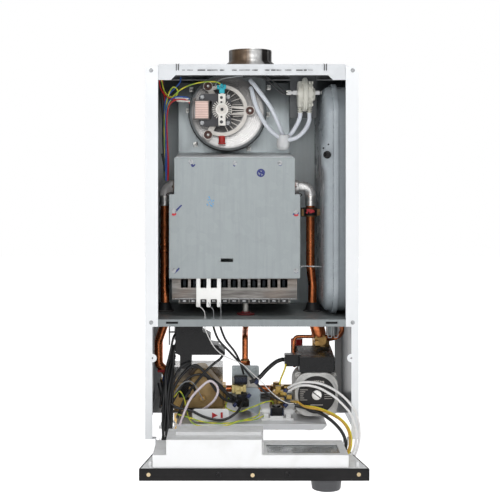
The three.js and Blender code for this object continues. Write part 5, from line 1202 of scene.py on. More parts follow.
def flue_collar():
    """A spun steel collar: flat foot, rolled shoulder, straight spigot with a beaded rim."""
    profile = [
        (30, 0), (61.6, 0), (62, 0.5), (61.6, 1.5), (57, 1.7), (56.2, 2.6), (55.9, 11),
        (55, 12.6), (44.6, 21), (43.3, 22.4), (42.8, 24), (42.8, 39.2), (43, 39.8), (43, 41.4),
        (42.8, 42), (42.8, 44.6), (42.4, 45), (41.8, 44.6), (41.5, 43), (41.5, 9), (41, 8.2),
        (30.4, 8), (30, 7.4), (30, 0),
    ]
    turned("flue_collar_spun", "flue_collar", (0.7, 136.8, 698.3), profile,
           "steel_painted_reflections", sides=96, angle=50)


def pressure_switch():
    """Two clamped cups on a crimped rim, with ribbed bosses and two hose ports."""
    bm = bmesh.new()
    profile = [
        (0, -14.5), (22, -14.5), (25, -13.6), (26, -12), (26, -4.6), (31.4, -3.9), (32.6, -2.8),
        (32.9, -0.6), (31.8, -0.2), (31.8, 0.2), (32.9, 0.6), (32.6, 2.8), (31.4, 3.9),
        (26, 4.6), (26, 12), (25, 13.6), (22, 14.5), (16, 14.5), (12, 15), (12, 18.9),
        (11.2, 19.5), (0, 19.5),
    ]
    x, depth, height = 105, 200, 651
    spun(bm, (x, depth, height), RIGHT, profile, 72)
    for i in range(12):
        y, z = about((depth, height), 28.6, 30 * i)
        box_of(bm, (x - 5.4, x + 5.4), (y - 1.6, y + 1.6), (z - 1.6, z + 1.6), 0.5)
    port = [(0, 0.1), (2.3, 0.1), (3, 0.1), (3, 1.2), (2.4, 2.6), (2.4, 22), (0, 22)]
    for side in (-1, 1):
        spun(bm, (x + side * 9.1, depth, 617), UP, port, 24)
    piece = finished("pressure_switch_moulding", bm, 35)
    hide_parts("pressure_switch")
    dressed(piece, "ivory", "casing")


def condensate_trap():
    profile = [
        (0, 0.3), (5, 0.8), (9.5, 3), (12, 7), (12.5, 9.5), (12.5, 27.5), (12.1, 29), (12.5, 29.6),
        (12.5, 30.4), (11.8, 31), (0, 31),
    ]
    turned("condensate_trap", "condensate_capsule", (63.6, 190, 542), profile, "clear")


def expansion_vessel():
    """A flat pressed vessel: two dished shells rolled together at a seam, with a valve boss."""
    bm = bmesh.new()
    widths = [
        (0, -17), (2.5, -8.5), (6.5, -3), (12, -0.6), (20.5, 0), (21.8, 0.4), (22.2, 5.2),
        (23.4, 6), (30.6, 6), (31.8, 5.2), (32.2, 0.4), (33.5, 0), (52.5, -0.4), (58.5, -3),
        (62.8, -8.5), (65.3, -17),
    ]
    sections = []
    for across, grow in widths:
        sections.append([
            bm.verts.new(at(133.1 + across + drawn_in(across, depth, z), depth, z))
            for depth, z in vessel_outline(grow)
        ])
    skin(bm, sections)
    cap = bmesh.new()
    boss = [(0, 0), (7.4, 0), (7.4, 8.4), (6.4, 9.4), (5.8, 9.6), (5.8, 15), (4.6, 16), (4.6, 20),
            (4, 21), (0, 21)]
    spun(cap, (144, 243, 533), OUT, boss, 28)
    dressed(finished("vessel_valve_cap", cap), "black", "casing")
    piece = finished("expansion_vessel_shell", bm, 35)
    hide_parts("expansion_vessel")
    dressed(piece, "vessel", "casing")


def drawn_in(across, depth, z):
    """How far the left shell is drawn in: less round the valve, where it swells."""
    swell = math.exp(-(((z - 531) / 26) ** 4)) if depth > 150 else 0
    return 5.4 * max(0, 1 - across / 21) * (1 - swell)


CORNER_TURNS = 14


def vessel_outline(grow):
    """The vessel's outline in depth and height, with round corners, grown or drawn in evenly."""
    rear, front = 14 - min(grow, 2.6), 252 + min(grow, 5.7)
    low, high = 230.3 - min(grow, 5.7), 666 + min(grow, 5.7)
    radius = 60 + grow
    found = []
    spots = [(front - radius, low + radius, -90), (front - radius, high - radius, 0),
             (rear + radius, high - radius, 90), (rear + radius, low + radius, 180)]
    for depth, z, start in spots:
        for i in range(CORNER_TURNS + 1):
            angle = math.radians(start + 90 * i / CORNER_TURNS)
            found.append((depth + radius * math.cos(angle), z + radius * math.sin(angle)))
        if start == -90:
            rise = (high - low - 2 * radius) / 48
            found += [(front, low + radius + rise * i) for i in range(1, 48)]
    return found


def panel_dial():
    """The round control with its fluted skirt, seen edge-on under the fascia."""
    bm = bmesh.new()
    count, rings = 72, []
    profile = [(0, -60.6), (20, -60.6), (24.6, -60.3), (25.5, -59.4), (26.4, -52), (27.2, -44),
               (27.9, -38), (27.6, -36.9), (26, -36.6), (0, -36.6)]
    x, depth = 128.6, 386
    for radius, z in profile:
        if radius == 0:
            rings.append([bm.verts.new(at(x, depth, z))])
            continue
        ring = []
        for k in range(count):
            flute = 0.45 if k % 3 == 0 and -59 < z < -38 else 0
            ring.append(bm.verts.new(at(*about((x, depth), radius - flute, 360 * k / count), z)))
        rings.append(ring)
    skin_with_poles(bm, rings, count)
    spun(bm, (x, depth, -36.8), UP, [(0, 0), (4, 0), (4, 8.2), (0, 8.2)], 24)
    piece = finished("panel_dial_grip", bm, 30)
    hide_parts("panel_knob")
    dressed(piece, "dial", "panel_dial")
    mark = bmesh.new()
    box_of(mark, (x - 1.2, x + 1.2), (392, 408), (-60.68, -60.2), 0.1)
    dressed(finished("panel_dial_mark", mark), "white", "panel_dial")


flue_collar()
pressure_switch()
condensate_trap()
expansion_vessel()
panel_dial()


def detail(name, finish, body, slot, make):
    """A piece whose form is added to an empty mesh by its maker."""
    bm = bmesh.new()
    make(bm)
    return dressed(finished(name, bm), finish, body)


# Shapes that repeat, made by Geometry Nodes


class Shaping:
    """A Geometry Nodes tree that puts one made shape on each point of a mesh."""

    def __init__(self, name, **sizes):
        self.tree = bpy.data.node_groups.new(name, "GeometryNodeTree")
        face = self.tree.interface
        face.new_socket("Geometry", in_out="INPUT", socket_type="NodeSocketGeometry")
        face.new_socket("Geometry", in_out="OUTPUT", socket_type="NodeSocketGeometry")
        for key, value in sizes.items():
            kind = "NodeSocketInt" if isinstance(value, int) else "NodeSocketFloat"
            face.new_socket(key, in_out="INPUT", socket_type=kind).default_value = value
        self.start = self.tree.nodes.new("NodeGroupInput")

    def size(self, key):
        return self.start.outputs[key]

    def node(self, kind, settings=None, sockets=None, output=0):
        made = self.tree.nodes.new(kind)
        for key, value in (settings or {}).items():
            setattr(made, key, value)
        for key, value in (sockets or {}).items():
            for each in value if isinstance(value, list) else [value]:
                if isinstance(each, bpy.types.NodeSocket):
                    self.tree.links.new(each, made.inputs[key])
                else:
                    made.inputs[key].default_value = each
        return made.outputs[output]

    def times(self, first, second, operation="MULTIPLY"):
        return self.node("ShaderNodeMath", {"operation": operation}, {0: first, 1: second})

    def vector(self, x=0.0, y=0.0, z=0.0):
        return self.node("ShaderNodeCombineXYZ", {}, {0: x, 1: y, 2: z})

    def moved(self, geometry, **change):
        sockets = {"Geometry": geometry, **change}
        return self.node("GeometryNodeTransform", {}, sockets)

    def column(self, sides, radius, height, foot=0.0, top_share=1.0):
        """A cone or cylinder that stands on its foot."""
        made = self.node(
            "GeometryNodeMeshCone",
            {},
            {
                "Vertices": sides,
                "Radius Bottom": radius,
                "Radius Top": self.times(radius, top_share),
                "Depth": height,
            },
        )
        return self.moved(made, Translation=self.vector(z=foot))

    def finish_on(self, shape, tilt, material):
        """Sets the shape on the points, each turned by its own angle, with the material."""
        put = self.node(
            "GeometryNodeInstanceOnPoints",
            {},
            {"Points": self.size("Geometry"), "Instance": shape, "Rotation": self.vector(*tilt)},
        )
        angle = self.node(
            "FunctionNodeRandomValue", {"data_type": "FLOAT"},
            {2: 0.0, 3: 2 * math.pi, "Seed": self.size("Seed")}, output=1,
        )
        turned_shapes = self.node(
            "GeometryNodeRotateInstances", {},
            {"Instances": put, "Rotation": self.vector(z=angle), "Local Space": True},
        )
        self.end_with(self.real(turned_shapes), material)

    def real(self, instances):
        return self.node("GeometryNodeRealizeInstances", {}, {0: instances})

    def end_with(self, geometry, material):
        sockets = {"Geometry": geometry, "Material": material}
        shown = self.node("GeometryNodeSetMaterial", {}, sockets)
        end = self.tree.nodes.new("NodeGroupOutput")
        self.tree.links.new(shown, end.inputs[0])

    def grow(self, name, points, **sizes):
        """The plain mesh that the tree makes on the given points, with its sizes set."""
        mesh = bpy.data.meshes.new(name + "_points")
        mesh.from_pydata([tuple(point) for point in points], [], [])
        carrier = add_mesh(name + "_points", mesh)
        modifier = carrier.modifiers.new("shaping", "NODES")
        modifier.node_group = self.tree
        for item in self.tree.interface.items_tree:
            if item.in_out == "INPUT" and item.name in sizes:
                modifier[item.identifier] = sizes[item.name]
        carrier.data.update()
        ready = carrier.evaluated_get(bpy.context.evaluated_depsgraph_get())
        made = bpy.data.meshes.new_from_object(ready)
        made.name = name
        bpy.data.objects.remove(carrier)
        return add_mesh(name, made)


FACING_OUT = (math.pi / 2, 0, 0)


def screw_tree(name, material):
    """A washer-faced hex or round head with a cross recess."""
    shape = Shaping(name, Head=0.003, Height=0.002, Sides=6, Washer=0.0045, Groove=0.0009, Seed=1)
    washer = shape.column(24, shape.size("Washer"), shape.times(shape.size("Height"), 0.3))
    head = shape.column(
        shape.size("Sides"), shape.size("Head"), shape.size("Height"),
        shape.times(shape.size("Height"), 0.25), 0.9,
    )
    length = shape.times(shape.size("Head"), 1.25)
    depth = shape.times(shape.size("Height"), 0.9)
    bars = [
        shape.node("GeometryNodeMeshCube", {}, {"Size": shape.vector(*size)})
        for size in (
            (length, shape.size("Groove"), depth),
            (shape.size("Groove"), length, depth),
        )
    ]
    cutter = shape.moved(
        shape.node("GeometryNodeJoinGeometry", {}, {0: bars}),
        Translation=shape.vector(z=shape.times(shape.size("Height"), 1.3)),
    )
    one_cutter = shape.node(
        "GeometryNodeMergeByDistance", {}, {"Geometry": cutter, "Distance": 1e-7}
    )
    slotted = shape.node(
        "GeometryNodeMeshBoolean",
        {"operation": "DIFFERENCE", "solver": "EXACT"},
        {"Mesh 1": head, "Mesh 2": one_cutter},
    )
    whole = shape.node("GeometryNodeJoinGeometry", {}, {0: [washer, slotted]})
    shape.finish_on(whole, FACING_OUT, material)
    return shape


SCREWS = {
    "zinc": screw_tree("zinc_screws", FINISHES["zinc"]),
    "yellow": screw_tree("yellow_screws", FINISHES["yellow_zinc"]),
}


def screws(name, kind, places, body="casing", **sizes):
    """A set of screws at places in millimetres, of one kind and size."""
    sizes = {key.capitalize(): value * (1 if key in ("sides", "seed") else MILLIMETRE)
             for key, value in sizes.items()}
    piece = SCREWS[kind].grow(name, [at(*place) for place in places], **sizes)
    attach(piece, body)


screws("cover_screws", "zinc", [
    (-115, 250.2, 519.6), (-31.5, 250.2, 517.3), (53.9, 250.2, 517.3),
    (-147.2, 250.2, 426.2), (84.3, 250.2, 424.3), (-147.5, 250.2, 313), (84.5, 250.2, 313),
], head=3.4, height=2.4, washer=4.6, groove=1, seed=3)
screws("casing_screws", "zinc", [
    (-188.5, 280.1, 690), (188.5, 280.1, 690), (-188.5, 280.1, 218.5), (188.5, 280.1, 218.5),
], head=2.8, height=1.8, washer=3.9, groove=0.9, sides=16, seed=5)


# Fan


FAN = (-56, 621)


def fan_rotor():
    """The motor's shaft and drum, and its finned wheel, which turn with the fan's wheel."""
    x, z = FAN

    def drum(bm):
        profile = [
            (0, 150), (2.9, 150), (2.9, 184.2), (14, 184.2), (14.4, 184.8), (14.4, 201),
            (14, 201.6), (2.9, 201.6), (2.9, 221), (2.2, 221.7), (0, 221.7),
        ]
        spun(bm, (x, 0, z), OUT, profile, 40)

    piece = detail("fan_drum_and_shaft", "dark_steel", "fan_wheel", "laminate", drum)
    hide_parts("fan_rotor")

    def hub(bm):
        profile = [
            (3.1, 203.9), (9, 203.9), (9.4, 204.4), (9.4, 207.3), (9, 207.9), (7, 207.9),
            (6.4, 208.9), (3.1, 208.9), (3.1, 203.9),
        ]
        spun(bm, (x, 0, z), OUT, profile, 48)

    detail("cooling_wheel_hub", "cream", "fan_wheel", "cream", hub)
    fins = Shaping("ring_of_fins", Count=28, Middle=0.0144, Length=0.0098, Width=0.0015,
                   Height=0.0038)
    ring = fins.node("GeometryNodeMeshCircle", {},
                     {"Vertices": fins.size("Count"), "Radius": fins.size("Middle")})
    blade = fins.node("GeometryNodeMeshCube", {}, {"Size": fins.vector(
        fins.size("Length"), fins.size("Width"), fins.size("Height"))})
    step = fins.times(2 * math.pi, fins.size("Count"), "DIVIDE")
    index = fins.node("GeometryNodeInputIndex")
    put = fins.node("GeometryNodeInstanceOnPoints", {}, {
        "Points": ring, "Instance": blade, "Rotation": fins.vector(z=fins.times(index, step))})
    tilted = fins.moved(fins.real(put), Rotation=FACING_OUT, Translation=at(x, 206, z))
    fins.end_with(tilted, FINISHES["cream"])
    piece = fins.grow("cooling_wheel_fins", [(0, 0, 0)], Count=26)
    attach(piece, "fan_wheel")


def bracket_ribs(bm):
    """Three level ribs towards the right lobe, and slanting ones below them."""
    for z in (628.5, 621, 613.5):
        box_of(bm, (-43, -12.5), (180.2, 184.4), (z - 0.9, z + 0.9), 0.5)
    for i in range(5):
        x, z = about(FAN, 24, -28 - 14 * i)
        u, w = about(FAN, 42.5, -14 - 15 * i)
        rod_between(bm, (x, 181.6, z), (u, 181.6, w), 0.9)
    for i in range(4):
        x, z = about(FAN, 24, 30 + 17 * i)
        u, w = about(FAN, 42.5, 16 + 18 * i)
        rod_between(bm, (x, 180.6, z), (u, 180.6, w), 0.6)


LOBES = [(-1.3, 620.6), (-83.4, 668.4), (-83.4, 573.4)]


def lobe_rings(bm):
    for x, z in LOBES:
        spun(bm, (x, 183.7, z), OUT, [
            (2.6, 0), (7.6, 0), (8, 0.6), (8, 1.8), (7.2, 2.8), (4, 3), (2.6, 2.4), (2.6, 0),
        ], 32)


def lobe_pins(bm):
    for x, z in LOBES:
        spun(bm, (x, 183.7, z), OUT, [
            (0, 0), (3.3, 0), (3.3, 3.2), (2.8, 4), (2.4, 4.4), (2.2, 6.6), (1.5, 7.4), (0, 7.4),
        ], 24)


def core_bolts(bm):
    for x, z in [(-94.8, 646.3), (-44.4, 646.3), (-94.8, 595.7), (-44.4, 595.7)]:
        spun(bm, (x, 201.8, z), OUT, [
            (0, 0), (4.6, 0), (4.6, 0.7), (3.1, 0.9), (3.1, 3.1), (2.5, 3.8), (0, 3.8),
        ], 6)
    for x in (-72, -62, -48):
        for z in (650.5, 591.5):
            box_of(bm, (x - 2.4, x + 2.4), (186, 200.5), (z - 2.2, z + 2.2), 0.6)


def coil_frame(bm):
    """The clear bobbin: two cheeks and the corner posts round the winding."""
    for z in (637.6, 602.2):
        box_of(bm, (-112.5, -80.4), (176.8, 208.9), (z, z + 2), 0.5)
    for x in (-111.8, -82.2):
        box_of(bm, (x, x + 1.4), (207.2, 208.9), (603, 638.6), 0.4)
    box_of(bm, (-112.5, -106), (178, 206), (639.2, 644.5), 0.8)


def winding(bm):
    """The taped coil: one turn beside the next, each a flattened band."""
    turns = 7
    for i in range(turns):
        low = 604.6 + i * 33 / turns
        box_of(bm, (-107.9, -82.4), (177.9, 207.9), (low - 0.35, low + 33 / turns + 0.35), 0.7)


def bridge_rivets(bm):
    for z, radius in ((644.3, 2.9), (635.4, 2.1), (606.7, 2.1), (597.2, 3.2)):
        profile = [(0, 0), (radius, 0), (radius, 0.5), (radius * 0.6, 0.9), (0, 1)]
        spun(bm, (-57.1, 212.8, z), OUT, profile, 20)


def bridge_bearing(bm):
    spun(bm, (-56, 215.2, 621), OUT, [
        (3.1, 0), (9.2, 0), (9.2, 0.5), (8.6, 0.9), (7.6, 0.9), (7.2, 0.4), (5, 0.4), (4.6, 1.2),
        (3.1, 1.2), (3.1, 0),
    ], 36)


def earth_boot(bm):
    box_of(bm, (-61.5, -51), (211, 216.6), (652.5, 664), 1.6)
    box_of(bm, (-65.8, -60.5), (211.4, 216), (660, 668.5), 1.8)
    box_of(bm, (-53.6, -48), (211.4, 216), (660.5, 669.5), 1.8)
    box_of(bm, (-59.6, -54), (211.8, 215.8), (664, 671), 1.4)


def sensor_body(bm):
    spun(bm, (-56.2, 178, 555), UP, [
        (0, 0), (6.8, 0), (7.6, 1), (7.6, 2.4), (6.4, 3.2), (6.2, 13.4), (7.4, 14.4), (7.4, 15.8),
        (6.6, 16.6), (0, 16.6),
    ], 32)


def sensor_top(bm):
    spun(bm, (-56.2, 178, 571.8), UP, [(0, 0), (5.6, 0), (5.6, 4.6), (4.6, 5.6), (0, 5.6)], 28)
    rod_between(bm, (-56.2, 178, 560), (-56.2, 165.8, 560), 3)


def sheet_clips(bm):
    """Small bent spring clips that hold the scroll and the hood together."""
    for x, z, depth, lean in [
        (-125, 625, 112, 1), (-109.5, 557, 112, 1), (-2, 548, 112, -1), (36.6, 617, 112, -1),
        (-118, 668, 112, 1), (38, 672, 112, -1),
    ]:
        box_of(bm, (x - 4, x + 4), (depth, depth + 1.4), (z - 5, z + 5), 0.5)
        box_of(bm, (x - 3 * lean - 1.2, x - 3 * lean + 1.2), (depth + 1, depth + 7),
               (z - 4, z + 4), 0.5)
        spun(bm, (x + lean, depth + 1.2, z), OUT, [
            (0, 0), (2.8, 0), (2.6, 1.2), (1.6, 2), (0, 2.2)], 16)


def scroll_flange(bm):
    """The rolled seam that joins the two halves of the fan's housing."""
    spun(bm, (-45, 136.8, 619), OUT, [
        (75.8, -1.4), (77.6, -1.2), (78.2, -0.4), (78.2, 0.4), (77.6, 1.2), (75.8, 1.4),
        (75.8, -1.4),
    ], 96)


def splice_connectors(bm):
    """Two clear splices on the motor's leads."""
    for z, shift in ((642.5, 0), (637.6, 3)):
        rod_between(bm, (-147 + shift, 208, z + 1.5), (-132 + shift, 209, z), 2.3, 16)
        rod_between(bm, (-132 + shift, 209, z), (-121 + shift, 209, z - 0.4), 1.6, 12)


def make_fan():
    fan_rotor()
    detail("bracket_ribs", "bracket_alloy", "casing", "cream", bracket_ribs)
    detail("bracket_grommets", "brown_rubber", "casing", "black", lobe_rings)
    detail("bracket_pins", "nickel", "casing", "nickel", lobe_pins)
    detail("core_bolts", "zinc", "casing", "laminate", core_bolts)
    detail("coil_bobbin", "smoky", "casing", "glassy", coil_frame)
    coil = detail("coil_winding", "bobbin", "casing", "bobbin", winding)
    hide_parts("fan_coil")
    detail("bridge_rivets", "dark_steel", "casing", "nickel", bridge_rivets)
    detail("bridge_bearing_ring", "bracket_alloy", "casing", "cream", bridge_bearing)
    detail("earth_boot", "turquoise", "casing", "black", earth_boot)
    detail("hood_sensor", "red_cap", "casing", "red", sensor_body)
    detail("hood_sensor_top", "cream", "casing", "cream", sensor_top)
    detail("hood_clips", "nickel", "casing", "nickel", sheet_clips)
    detail("scroll_seam", "dark_steel", "casing", "steel", scroll_flange)
    detail("motor_splices", "connector", "casing", "white", splice_connectors)


make_fan()


# Combustion cover and what is on it


def painted(name, strokes, finish, face):
    """Marks of paint on a face that looks out: round-ended strokes, almost flat."""
    bm = bmesh.new()
    for radius, points in strokes:
        line = stations_through([(x, face, z) for x, z in points], 4 * len(points))
        sweep(bm, line, lambda share, r=radius: r * (1 - 0.3 * share), 10)
    for vert in bm.verts:
        vert.co.y = -face * MILLIMETRE + (vert.co.y + face * MILLIMETRE) * 0.12
    dressed(finished(name, bm, 60), finish, "casing")


COVER_FACE = 250.4


def cover_marks():
    """Quality ticks in blue and red at the screws, one plain round stamp and a pale smudge."""
    ticks = [
        (1.9, [(-113.5, 515), (-111.5, 511), (-107, 514.5)]), (1.7, [(-118, 520.5), (-115, 518)]),
        (1.9, [(-33.5, 514), (-31.5, 511)]), (1.5, [(-29, 517.5), (-30.5, 514)]),
        (1.7, [(52, 514.6), (55, 513), (57.5, 515.6)]),
        (1.8, [(-143.5, 426), (-138.5, 431.5), (-132.5, 437.5)]),
        (1.5, [(-146, 423), (-142, 427)]),
        (1.8, [(79, 421), (83, 418.5)]), (1.7, [(86, 420.5), (90, 423)]),
        (1.9, [(-146.5, 309), (-141, 313.5), (-137, 318)]),
        (1.6, [(82, 309.5), (88.5, 309.8)]),
    ]
    painted("screw_marks_blue", ticks, "blue_ink", COVER_FACE)
    reds = [(2.3, [(-150.5, 420.6), (-147, 419), (-143, 421.4)]),
            (2.4, [(81.5, 419.6), (85, 418), (89, 419.6)])]
    painted("screw_marks_red", reds, "red_ink", COVER_FACE)
    ring = [(1.9, [about((17.9, 498.3), 6.3, 24 * i) for i in range(16)])]
    inner = [(3.6, [(14.2, 499.6), (17.2, 501.6)]), (3.6, [(19.6, 496.4), (21.2, 499.8)]),
             (3.0, [(15.2, 494.6), (18.6, 493.6)]), (3.2, [(19.4, 501.6), (21.6, 503)])]
    painted("round_stamp", ring + inner, "blue_ink", COVER_FACE)
    dots = [(2.1 + 1.1 * math.sin(3.1 * i), [(x, z), (x + 1.6, z + 0.9)]) for i,
            (x, z) in enumerate([
        (-80, 441), (-76.5, 444.5), (-83, 446.4), (-74, 439.4), (-78.5, 436.4), (-81, 452),
        (-72.8, 445.5), (-84.6, 437.8), (-79.6, 447.6), (-76, 435),
    ])]
    painted("pale_smudge", dots, "pale_ink", 250.35)


def cover_hem(bm):
    """The folded hem along the cover's upper edge, and the lap between its two widths."""
    box_of(bm, (-146.4, 82.4), (236.6, 250.5), (526.3, 527.4), 0.3)
    box_of(bm, (-156.2, 92.2), (249.2, 250.5), (298, 299.2), 0.3)
    for x in (-156.4, 91.2):
        box_of(bm, (x, x + 1.3), (240, 250.6), (299, 457.6), 0.4)
    for x in (-146.6, 81.5):
        box_of(bm, (x, x + 1.2), (240, 250.6), (458, 526.6), 0.4)


def spring_clips(bm):
    """Wire clips that hold the elbows to the exchanger's stubs."""
    for side, x in ((-1, -156.5), (1, 92.5)):
        line = [(x - side * 4, 168, 459), (x + side * 2, 169, 459.5), (x + side * 9, 168, 456),
                (x + side * 6, 167, 452)]
        sweep(bm, stations_through(line, 16), 0.9, 10)
        line = [(x - side * 2.5, 169, 459), (x - side * 4, 170, 450), (x - side * 5, 170, 441)]
        sweep(bm, stations_through(line, 12), 0.8, 10)
        rod_between(bm, (x - side * 3, 163.6, 471.7), (x - side * 1, 163.6, 471.7), 2.2)


def thermostat_parts():
    def strap(bm):
        for z in (413.2, 427.4):
            spun(bm, (120, 150, z), UP, [(13.2, -0.9), (14, -0.6), (14, 0.6), (13.2, 0.9),
                                         (12, 0.9), (12, -0.9), (13.2, -0.9)], 40)
        box_of(bm, (101.2, 106.5), (157, 160.5), (413.5, 427), 0.8)
        box_of(bm, (131, 142), (150, 153), (414, 426.6), 0.8)
        spun(bm, (137, 153, 420.3), OUT, [(0, 0), (2.6, 0), (2.2, 1.4), (0, 1.8)], 18)

    detail("thermostat_strap", "cocoa", "casing", "black", strap)
    blobs = [(3.2, [(112, 424), (118, 425.4), (125, 423.2)]), (2.6, [(117, 421), (127, 423)]),
             (1.9, [(110.5, 421), (114, 419)])]
    painted("thermostat_red_mark", blobs, "red_ink", 163.4)


cover_marks()
detail("cover_hems", "cover_sheet", "casing", "galvanised", cover_hem)
detail("elbow_clips", "dark_steel", "casing", "steel", spring_clips)
thermostat_parts()


# Chamber, shelf and collar details


def floor_boots(bm):
    """Rubber cones that seal the water pipes where they pass the chamber's floor."""
    for x in (-170, 124):
        spun(bm, (x, 150, 224.1), UP, [
            (8.7, 0), (18, 0), (18.6, 0.8), (17.6, 1.8), (14.6, 2.6), (11.2, 15), (10.6, 17),
            (8.7, 17.4), (8.7, 0),
        ], 40)


def gas_seal(bm):
    spun(bm, (-10, 205, 227.2), UP, [
        (5.7, -3), (16.6, -3), (17.4, -2.2), (17.4, -0.8), (16.4, 0.2), (9.4, 0.8), (8.6, 3),
        (5.7, 3.2), (5.7, -3),
    ], 44)


def slot_shades(bm):
    """Painted shade: dark plates behind the shelf lip's slots, for what is seen through them."""
    for x in (-151, 147):
        box_of(bm, (x - 14, x + 14), (270, 272), (212.5, 222.5), 0.4)


def collar_tabs(bm):
    """Two bent tabs over the casing's upper edge."""
    for x in (-139.5, 137.5):
        for side in (-2.6, 1.4):
            box_of(bm, (x + side, x + side + 1.3), (274, 280.6), (690, 702.5), 0.4)


def lip_dashes():
    """Painted shade in the row of small pressed marks along the upper lip, as the perforated seam
    shows.
    """
    dashes = Shaping("row_of_dashes", Length=0.006, Height=0.0013, Depth=0.0004, Seed=7)
    bar = dashes.node("GeometryNodeMeshCube", {}, {"Size": dashes.vector(
        dashes.size("Length"), dashes.size("Depth"), dashes.size("Height"))})
    stretch = dashes.node(
        "FunctionNodeRandomValue", {"data_type": "FLOAT_VECTOR"},
        {0: (0.35, 1, 0.5), 1: (1.6, 1, 1.5), "Seed": dashes.size("Seed")})
    put = dashes.node("GeometryNodeInstanceOnPoints", {}, {
        "Points": dashes.size("Geometry"), "Instance": bar, "Scale": stretch})
    dashes.end_with(dashes.real(put), FINISHES["shade"])
    places = [at(-128 + 7.6 * i + 2.2 * math.sin(2.3 * i), 280.1, 690.6) for i in range(32)
              if i not in (3, 11, 19, 27)]
    piece = dashes.grow("upper_lip_mark_shades", places)
    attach(piece, "casing")


def cover_bracket(bm):
    """The thin rod that steadies the cover against the vessel's strap."""
    rod_between(bm, (90, 215, 319), (136, 215, 317.5), 1.3)
    rod_between(bm, (96, 214, 319), (96, 236, 319), 1.3)


def vessel_hole_shades(bm):
    # Painted shade: two dark spots for small holes by the valve.
    for x, z in ((136.4, 545.5), (146, 552.5)):
        spun(bm, (x, 251.3, z), OUT, [(0, 0), (1.8, 0), (1.6, 0.7), (0, 0.8)], 14)


# Pressure switch and its lead ends


def switch_nozzles(bm):
    for side, start, end in ((-1, 90.4, 71), (1, 124.6, 134)):
        z = 654
        rod_between(bm, (start + side * -2, 206, z), (start + side * 9, 206, z), 4.2, 20)
        rod_between(bm, (start + side * 8, 206, z), (end, 206, z), 2.7, 16)
        for i in range(2 if side < 0 else 1):
            x = start + side * (11 + 3 * i)
            rod_between(bm, (x, 206, z), (x + side * 1.3, 206, z), 3.6, 16)


def switch_ribs(bm):
    """Bosses, webs and clamping lugs on the two cups."""
    for x in (93.4, 99.6, 112.6, 118.2):
        for z, reach in ((672, 7), (662, 12), (640, 12), (629.6, 7)):
            box_of(bm, (x - 1.1, x + 1.1), (220 + reach * 0.2, 224.8 + reach * 0.3),
                   (z - 2.6, z + 2.6), 0.7)
    for x in (95.9, 114.1):
        spun(bm, (x, 218.6, 651), OUT, [(0, 0), (6.4, 0), (6.4, 5.6), (5.2, 6.6), (3, 6.8), (3, 5),
                                        (0, 5)], 26)
    for z in (615.5, 619, 622.6):
        for x in (95.9, 114.1):
            spun(bm, (x, 200, z), UP, [(0, 0), (5.4, 0), (5, 1.7), (0, 1.9)], 22)


def switch_terminals(bm):
    for z in (657, 651.8):
        box_of(bm, (69, 78), (201.6, 205.4), (z - 1.6, z + 1.6), 0.5)


# Pump


PUMP = (126, 72)


def pump_label(bm):
    spun(bm, (PUMP[0], 223, PUMP[1]), OUT, [
        (9.8, 0), (35.6, 0), (36, 0.3), (35.6, 0.9), (10.2, 0.9), (9.8, 0.6), (9.8, 0),
    ], 96)


def pump_ring(bm):
    spun(bm, (PUMP[0], 221, PUMP[1]), OUT, [
        (36.2, 0), (40.4, 0), (41.4, 0.8), (41.4, 1.6), (38.6, 2.9), (36.2, 2.9), (36.2, 0),
    ], 96)


def pump_screw(bm):
    x, z = PUMP
    spun(bm, (x, 223.2, z), OUT, [
        (0, 0), (9.4, 0), (9.6, 0.6), (9.6, 3.6), (8.8, 4.6), (0, 4.9)], 44)


def screw_groove_shade(bm):
    # Painted shade: a dark bar in the screw's slot and a dark ring round its recess.
    x, z = PUMP
    lean = math.radians(38)
    reach, half = 8.6, 1
    corners_of = [
        (x + a * math.cos(lean) - b * math.sin(lean), z - a * math.sin(lean) - b * math.cos(lean))
        for a, b in ((-reach, -half), (reach, -half), (reach, half), (-reach, half))
    ]
    plate(bm, corners_of, 227.6, 228.3)
    spun(bm, (x, 223.6, z), OUT, [(9.8, 0), (11.6, 0), (11.6, 0.4), (9.8, 0.4), (9.8, 0)], 44)


def pump_marks(bm):
    """A turning arrow of dots on the label, with short bars where its print would be."""
    x, z = PUMP
    bars = [(-32, width, 9 - 3.9 * i, 1) for i, width in enumerate((15, 10, 7, 6, 8, 14))]
    bars += [(15, width, 4 - 3.9 * i, 1) for i, width in enumerate((9, 15, 13, 15))]
    bars += [(-15 + 5.2 * i, 3.4, 24, 2.6) for i in range(6)] + [(-12, 24, -20.4, 1.6)]
    for left, width, low, tall in bars:
        box_of(bm, (x + left, x + left + width), (223.7, 224.05), (z + low, z + low + tall), 0.1)
    for i in range(9):
        px, pz = about((x, z), 27, 60 + 7.5 * i)
        spun(bm, (px, 223.8, pz), OUT, [(0, 0), (1.15, 0), (1.1, 0.25), (0, 0.3)], 10)


def pump_shoulders(bm):
    """The four bolt lugs of the pump's head."""
    for dx, dz in ((-34, 34), (34, 34), (-34, -34), (34, -34)):
        spun(bm, (PUMP[0] + dx, 190, PUMP[1] + dz), OUT, [
            (0, 0), (7.4, 0), (7.4, 16), (6.4, 17.4), (4, 17.4), (4, 21.4), (3.2, 22), (0, 22),
        ], 24)


# Valve group


def valve_plate(bm):
    outline = [(-9, 79), (-9, 68), (-8.5, 66), (-8.5, 40), (-4, 34), (8, 28.5), (17, 28.5),
               (19, 31),
               (19, 72), (17, 76), (8, 79)]
    plate(bm, outline, 188.6, 190)


def valve_back_plate(bm):
    plate(bm, [(-36.5, 120), (-35, 122), (14, 122), (16.5, 119.5), (16.5, 100), (-36.5, 100)],
          186.2, 187.4)
    for x in (-27, 7.5):
        spun(bm, (x, 187.2, 112), OUT, [(0, 0), (4, 0), (3.6, 2.6), (2, 3), (0, 3)], 20)


